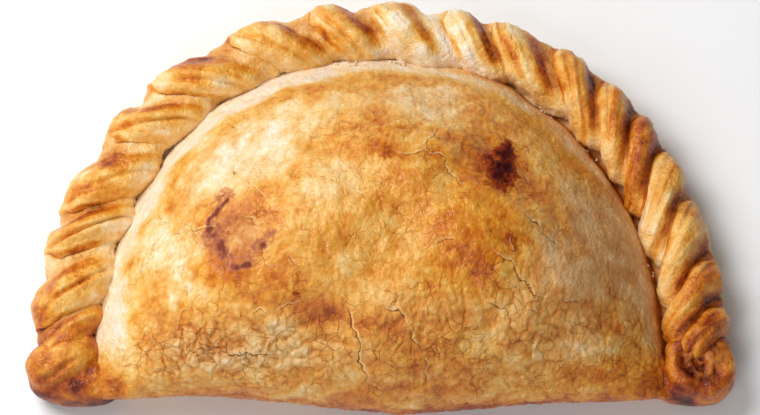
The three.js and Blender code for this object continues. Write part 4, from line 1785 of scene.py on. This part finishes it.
@dataclass(frozen=True)
class CrustFinish:
    """Egg-washed baked crust: a ramp from cream dough over gold and amber to char, with a satin skin."""

    material: bpy.types.Material

    GLOSSY = (
        (0.0, (250, 234, 212)),
        (0.16, (247, 211, 150)),
        (0.3, (241, 188, 100)),
        (0.44, (231, 158, 50)),
        (0.6, (207, 114, 10)),
        (0.75, (166, 72, 3)),
        (0.88, (110, 30, 2)),
        (1.0, (56, 9, 2)),
    )
    DRY = (
        (0.0, (248, 233, 216)),
        (0.16, (242, 209, 166)),
        (0.3, (231, 182, 124)),
        (0.44, (217, 156, 92)),
        (0.6, (194, 120, 56)),
        (0.75, (160, 84, 30)),
        (0.88, (108, 44, 12)),
        (1.0, (56, 14, 5)),
    )
    PORE = (140, 66, 14)
    SCORCH_EDGE = (196, 118, 66)
    SCORCH = (172, 100, 76)
    SCORCH_DEEP = (116, 46, 26)
    CHAR_EDGE = (150, 52, 3)
    CHAR = (70, 3, 0)
    CRACK_LIP = (246, 210, 150)
    CRACK = (126, 60, 14)

    @staticmethod
    def fine_lines(bench: NodeBench, place: Socket, bent: Socket, flake: Socket) -> Socket:
        """Fine cracks of the flaky skin: the greatest of three nets of cells, broken up by soft noise.

        Args:
            bench: where the nodes are laid out.
            place: each point's own place.
            bent: its place pushed about by noise.
            flake: how flaky the crust is.

        Returns:
            How far in a line each point lies.
        """
        some = bench.band(bench.noise(place, 7, 2), 0.46, 0.62, 0, 1)
        other = bench.band(bench.noise(bent, 5, 2), 0.48, 0.62, 0, 1)
        plate = bench.math("MULTIPLY", bench.band(bench.edges(bent, 2.4), 0.0, 0.045, 0.9, 0), some)
        net = bench.math("MULTIPLY", bench.band(bench.edges(bent, 4.4), 0.0, 0.022, 1, 0), other)
        small = bench.math("MULTIPLY", bench.band(bench.edges(bent, 1.1), 0.0, 0.08, 0.4, 0), other)
        net = bench.math("MULTIPLY", net, bench.math("ADD", flake, 0.2))
        lines = bench.math("MAXIMUM", bench.math("MULTIPLY", plate, flake), net)
        return bench.math("MAXIMUM", lines, bench.math("MULTIPLY", small, flake))

    @classmethod
    def pores(cls, bench: NodeBench, colour: Socket, bent: Socket) -> Socket:
        """Small brown dots over the crust: the middles of some cells of a net.

        Args:
            bench: where the nodes are laid out.
            colour: the crust's colour.
            bent: each point's place pushed about by noise.

        Returns:
            The colour with its dots.
        """
        dots = bench.add("ShaderNodeTexVoronoi", {"Vector": bent, "Scale": 1 / (3.6 * MM)})
        dot = bench.band(dots.outputs["Distance"], 0.03, 0.09, 1, 0)
        often = bench.band(dots.outputs["Color"], 0.5, 0.62, 0, 0.6)
        return bench.mix(bench.math("MULTIPLY", dot, often), colour, tone(*cls.PORE))

    @classmethod
    def burns(cls, bench: NodeBench, colour: Socket, medium: Socket, fine: Socket) -> Socket:
        """Scorch and char over the crust: noise is added to their strength, and each layer starts further in.

        Args:
            bench: where the nodes are laid out.
            colour: the crust's colour.
            medium: noise of a few millimetres.
            fine: noise of less than a millimetre.

        Returns:
            The colour with its burns.
        """
        uneven = bench.math("SUBTRACT", fine, 0.5)
        patchy = bench.math("MULTIPLY_ADD", bench.math("SUBTRACT", medium, 0.5), 2.2, 1.0)
        scorch = bench.math("MULTIPLY", patchy, bench.value("scorch"))
        scorch = bench.math("MULTIPLY_ADD", uneven, 1.1, scorch)
        scorch = bench.math("MULTIPLY", scorch, bench.band(bench.value("scorch"), 0.02, 0.3, 0, 1))
        char = bench.math("MULTIPLY_ADD", uneven, 0.9, bench.value("char"))
        char = bench.math("MULTIPLY", char, bench.band(bench.value("char"), 0.02, 0.2, 0, 1))
        layers = (
            (scorch, 0.05, 0.5, 0.8, cls.SCORCH_EDGE),
            (scorch, 0.25, 0.7, 0.8, cls.SCORCH),
            (scorch, 0.5, 1.0, 0.88, cls.SCORCH_DEEP),
            (char, 0.1, 0.6, 1.0, cls.CHAR_EDGE),
            (char, 0.5, 1.15, 1.0, cls.CHAR),
        )
        for strength, low, high, most, burnt in layers:
            colour = bench.mix(bench.band(strength, low, high, 0, most), colour, tone(*burnt))
        return colour

    @classmethod
    def cracks(cls, bench: NodeBench, colour: Socket) -> tuple[Socket, Socket]:
        """Open cracks: a brown line as wide as the crack, with a pale lip along its left side.

        Args:
            bench: where the nodes are laid out.
            colour: the crust's colour.

        Returns:
            The colour with its cracks, and how far in a crack each point lies.
        """
        wide = bench.value("gap")
        beside = bench.math("ABSOLUTE", bench.math("SUBTRACT", bench.value("crack"), 0.32))
        lip = bench.math("MULTIPLY", bench.band(beside, 0, 0.28, 1, 0), wide)
        colour = bench.mix(bench.math("MULTIPLY", lip, 3.4), colour, tone(*cls.CRACK_LIP))
        gap = bench.math("ABSOLUTE", bench.value("crack"))
        past = bench.math("SUBTRACT", gap, bench.math("MULTIPLY", wide, 0.55))
        shown = bench.band(wide, 0.02, 0.12, 0, 0.9)
        line = bench.math("MULTIPLY", bench.band(past, -0.03, 0.05, 1, 0), shown)
        return bench.mix(line, colour, tone(*cls.CRACK)), line

    @staticmethod
    def skin(
        bench: NodeBench, bent: Socket, fine: Socket, flake: Socket, raised: Socket, lines: Socket
    ) -> Socket:
        """Normals of the skin: ridges, fine noise, grain, raised plates and fine cracks, added up in mm.

        Args:
            bench: where the nodes are laid out.
            bent: each point's place pushed about by noise.
            fine: noise of less than a millimetre.
            flake: how flaky the crust is.
            raised: how far its plates are raised.
            lines: how far in a fine crack each point lies.

        Returns:
            The normals.
        """
        grain = bench.noise(bent, 0.3, 2)
        ridge = bench.math("ABSOLUTE", bench.math("SUBTRACT", bench.noise(bent, 1.1, 3), 0.5))
        height = bench.math("MULTIPLY", ridge, bench.band(flake, 0.15, 0.5, -0.55, -0.35))
        for layer, high in ((fine, 0.16), (grain, 0.05), (raised, 0.16), (lines, -0.14)):
            height = bench.math("MULTIPLY_ADD", layer, high, height)
        bump = bench.add("ShaderNodeBump", {"Height": height, "Strength": 1.0, "Distance": 1.0 * MM})
        return bump.outputs["Normal"]

    @classmethod
    def make(cls) -> "CrustFinish":
        """Builds the material from the pieces' own values, fine noise and nets of cells.

        Returns:
            The finish.
        """
        bench = NodeBench("baked_crust")
        place = bench.add("ShaderNodeTexCoord").outputs["Object"]
        drift = bench.add("ShaderNodeTexNoise", {"Vector": place, "Scale": 1 / (3.5 * MM), "Detail": 4.0})
        shift = bench.vector("SUBTRACT", drift.outputs["Color"], (0.5, 0.5, 0.5))
        bent = bench.vector("MULTIPLY_ADD", shift, (2.6 * MM,) * 3, place)
        medium = bench.noise(place, 2.6, 4)
        fine = bench.noise(place, 0.7, 4)
        flake = bench.value("flake")
        lines = cls.fine_lines(bench, place, bent, flake)
        plates = bench.math("MULTIPLY_ADD", bench.steps(bent, 1.2), 0.5, bench.steps(bent, 2.4))
        raised = bench.math("MULTIPLY", plates, flake)
        broad = bench.math("SUBTRACT", medium, 0.5)
        bake = bench.math("MULTIPLY_ADD", broad, 0.2, bench.value("bake"))
        bake = bench.math("MULTIPLY_ADD", bench.math("SUBTRACT", fine, 0.5), 0.26, bake)
        bake = bench.math("MULTIPLY_ADD", lines, 0.22, bake)
        bake = bench.math("MULTIPLY_ADD", bench.math("SUBTRACT", raised, 0.4), -0.09, bake)
        dry = bench.math("MULTIPLY_ADD", broad, 0.5, bench.value("dry"))
        glossy, tan = bench.ramp(bake, cls.GLOSSY), bench.ramp(bake, cls.DRY)
        colour = bench.mix(bench.band(dry, 0, 1, 0, 1), glossy, tan)
        colour = cls.pores(bench, colour, bent)
        colour = cls.burns(bench, colour, medium, fine)
        colour, line = cls.cracks(bench, colour)
        burnt = bench.math("MAXIMUM", bench.value("char"), bench.value("scorch"))
        washed = bench.math("MULTIPLY", bench.band(burnt, 0, 0.5, 1, 0.1), bench.math("SUBTRACT", 1.0, line))
        rough = bench.math("MULTIPLY_ADD", fine, 0.3, bench.band(burnt, 0, 0.5, 0.24, 0.5))
        normal = cls.skin(bench, bent, fine, flake, raised, lines)
        shader = bench.add("ShaderNodeBsdfPrincipled", {
            "Base Color": colour,
            "Roughness": rough,
            "Normal": normal,
            "Coat Normal": normal,
            "Specular IOR Level": 0.18,
            "Coat Weight": bench.math("MULTIPLY", bench.band(dry, 0, 1, 0.45, 0.06), washed),
            "Coat Roughness": 0.15,
            "IOR": 1.45,
        })
        out = bench.add("ShaderNodeOutputMaterial", {"Surface": shader.outputs[0]})
        out.is_active_output = True
        return cls(bench.material)


@dataclass(frozen=True)
class Studio:
    """A plain pale floor under soft light from the left, a little behind, a panel in front and even fill."""

    key: float = 3.0
    front: float = 2.3
    fill: float = 0.18
    toward_key: Vector = (-0.52, 0.36, 0.77)
    toward_front: Vector = (-0.22, -0.74, 0.64)
    front_distance: float = 0.8
    front_size: float = 0.6
    key_distance: float = 0.55
    key_size: float = 0.34
    floor_size: float = 3.0
    floor_drop: float = 0.0001
    floor_tones: Stops = ((0.0, (246, 246, 246)), (1.0, (250, 250, 250)))

    @staticmethod
    def hang(name: str, watts: float, size: float, toward: Vector, distance: float) -> None:
        """Hangs a square light in a direction from the pastry, facing it.

        Args:
            name: the light's name.
            watts: its power.
            size: its side, m.
            toward: its direction.
            distance: how far away it hangs, m.
        """
        data = bpy.data.lights.new(name, "AREA")
        data.energy = watts
        data.size = size
        light = bpy.data.objects.new(name, data)
        light.location = np.array(toward) / np.linalg.norm(toward) * distance
        light.rotation_euler = light.location.to_track_quat("Z", "Y").to_euler()
        bpy.context.scene.collection.objects.link(light)

    def build(self) -> None:
        """Makes the floor, the key light, the front panel, the fill and the plain colour view."""
        scene = bpy.context.scene
        half, low = self.floor_size / 2, -self.floor_drop
        corners = [(-half, -half, low), (half, -half, low), (half, half, low), (-half, half, low)]
        mesh = bpy.data.meshes.new("floor")
        mesh.from_pydata(corners, [], [(0, 1, 2, 3)])
        floor = bpy.data.objects.new("floor", mesh)
        scene.collection.objects.link(floor)
        bench = NodeBench("pale_floor")
        place = bench.add("ShaderNodeTexCoord").outputs["Object"]
        shade = bench.ramp(bench.noise(place, 40, 2), self.floor_tones)
        shader = bench.add("ShaderNodeBsdfPrincipled", {"Base Color": shade, "Roughness": 0.9})
        bench.add("ShaderNodeOutputMaterial", {"Surface": shader.outputs[0]})
        mesh.materials.append(bench.material)
        self.hang("window", self.key, self.key_size, self.toward_key, self.key_distance)
        self.hang("front_panel", self.front, self.front_size, self.toward_front, self.front_distance)
        world = bpy.data.worlds.new("fill")
        world.use_nodes = True
        world.node_tree.nodes["Background"].inputs["Color"].default_value = (1, 1, 1, 1)
        world.node_tree.nodes["Background"].inputs["Strength"].default_value = self.fill
        scene.world = world
        scene.view_settings.view_transform = "Standard"


def corner_knots(moon: HalfMoon) -> tuple[CornerKnot, CornerKnot]:
    """The two corners: on the left a tucked end over the crust's own corner, on the right a curled end.

    Args:
        moon: the pastry's plan.

    Returns:
        The left corner and the right one.
    """
    left = CornerKnot(
        moon,
        "left_knot",
        middle=(-57.6, 0.2, 5.0),
        lobes=(
            Lobe((-58.4, 1.2, 5.2), (7.2, 4.6, 5.7), 2.4, 0.5, 28.0),
            Lobe((-61.5, -0.6, 4.6), (3.1, 4.2, 4.6), 2.4, 0.57),
            Lobe((-55.4, -2.4, 4.0), (9.0, 4.5, 4.4), 2.3, 0.75),
        ),
        grooves=(
            Groove(((-54.6, 1.0), (-57.0, -0.6), (-58.8, -1.8), (-61.2, -3.0), (-63.4, -3.2)), 0.8, 0.6),
            Groove(((-63.4, 1.6), (-60.6, 2.8), (-57.6, 4.4)), 0.4, 0.5),
            Groove(((-53.6, -0.6), (-53.1, -2.0), (-53.6, -3.6)), 0.4, 0.4),
            Groove(((-56.4, -2.8), (-56.2, -4.6)), 0.35, 0.4),
        ),
        pits=(),
    )
    right = CornerKnot(
        moon,
        "right_knot",
        middle=(58.4, 0.2, 5.2),
        lobes=(
            Lobe((58.9, 0.2, 5.0), (6.6, 6.7, 5.2), 2.8, 0.66),
            Lobe((57.4, -2.4, 4.0), (7.6, 4.3, 4.4), 2.3, 0.76),
        ),
        grooves=(
            Groove((
                (63.4, 6.6), (61.4, 4.2), (58.6, 2.6), (57.6, 0.4), (58.8, -1.6), (61.0, -1.4),
            ), 0.9, 0.55),
            Groove(((54.9, 3.2), (55.0, 0.0), (56.6, -2.8), (59.6, -3.8)), 0.5, 0.5),
        ),
        pits=((57.8, 3.6), (59.5, 0.5), (60.0, -1.4), (62.8, -1.8)),
        curl=Curl((59.6, 0.6), 5.0, 0.8, 75.0),
    )
    return left, right


def main() -> None:
    """Builds the pieces in order."""
    logging.basicConfig(level=logging.INFO, format="%(name)s: %(message)s")
    moon = HalfMoon()
    view = PhotoView(moon)
    view.make_camera()
    Studio().build()
    finish = CrustFinish.make()
    FilledCrust(moon, view).build(finish)
    RopeCrimp(moon).build(finish)
    for knot in corner_knots(moon):
        knot.build(finish)
    SeamCrumbs(moon, view).build(finish)


if __name__ == "__main__":
    main()
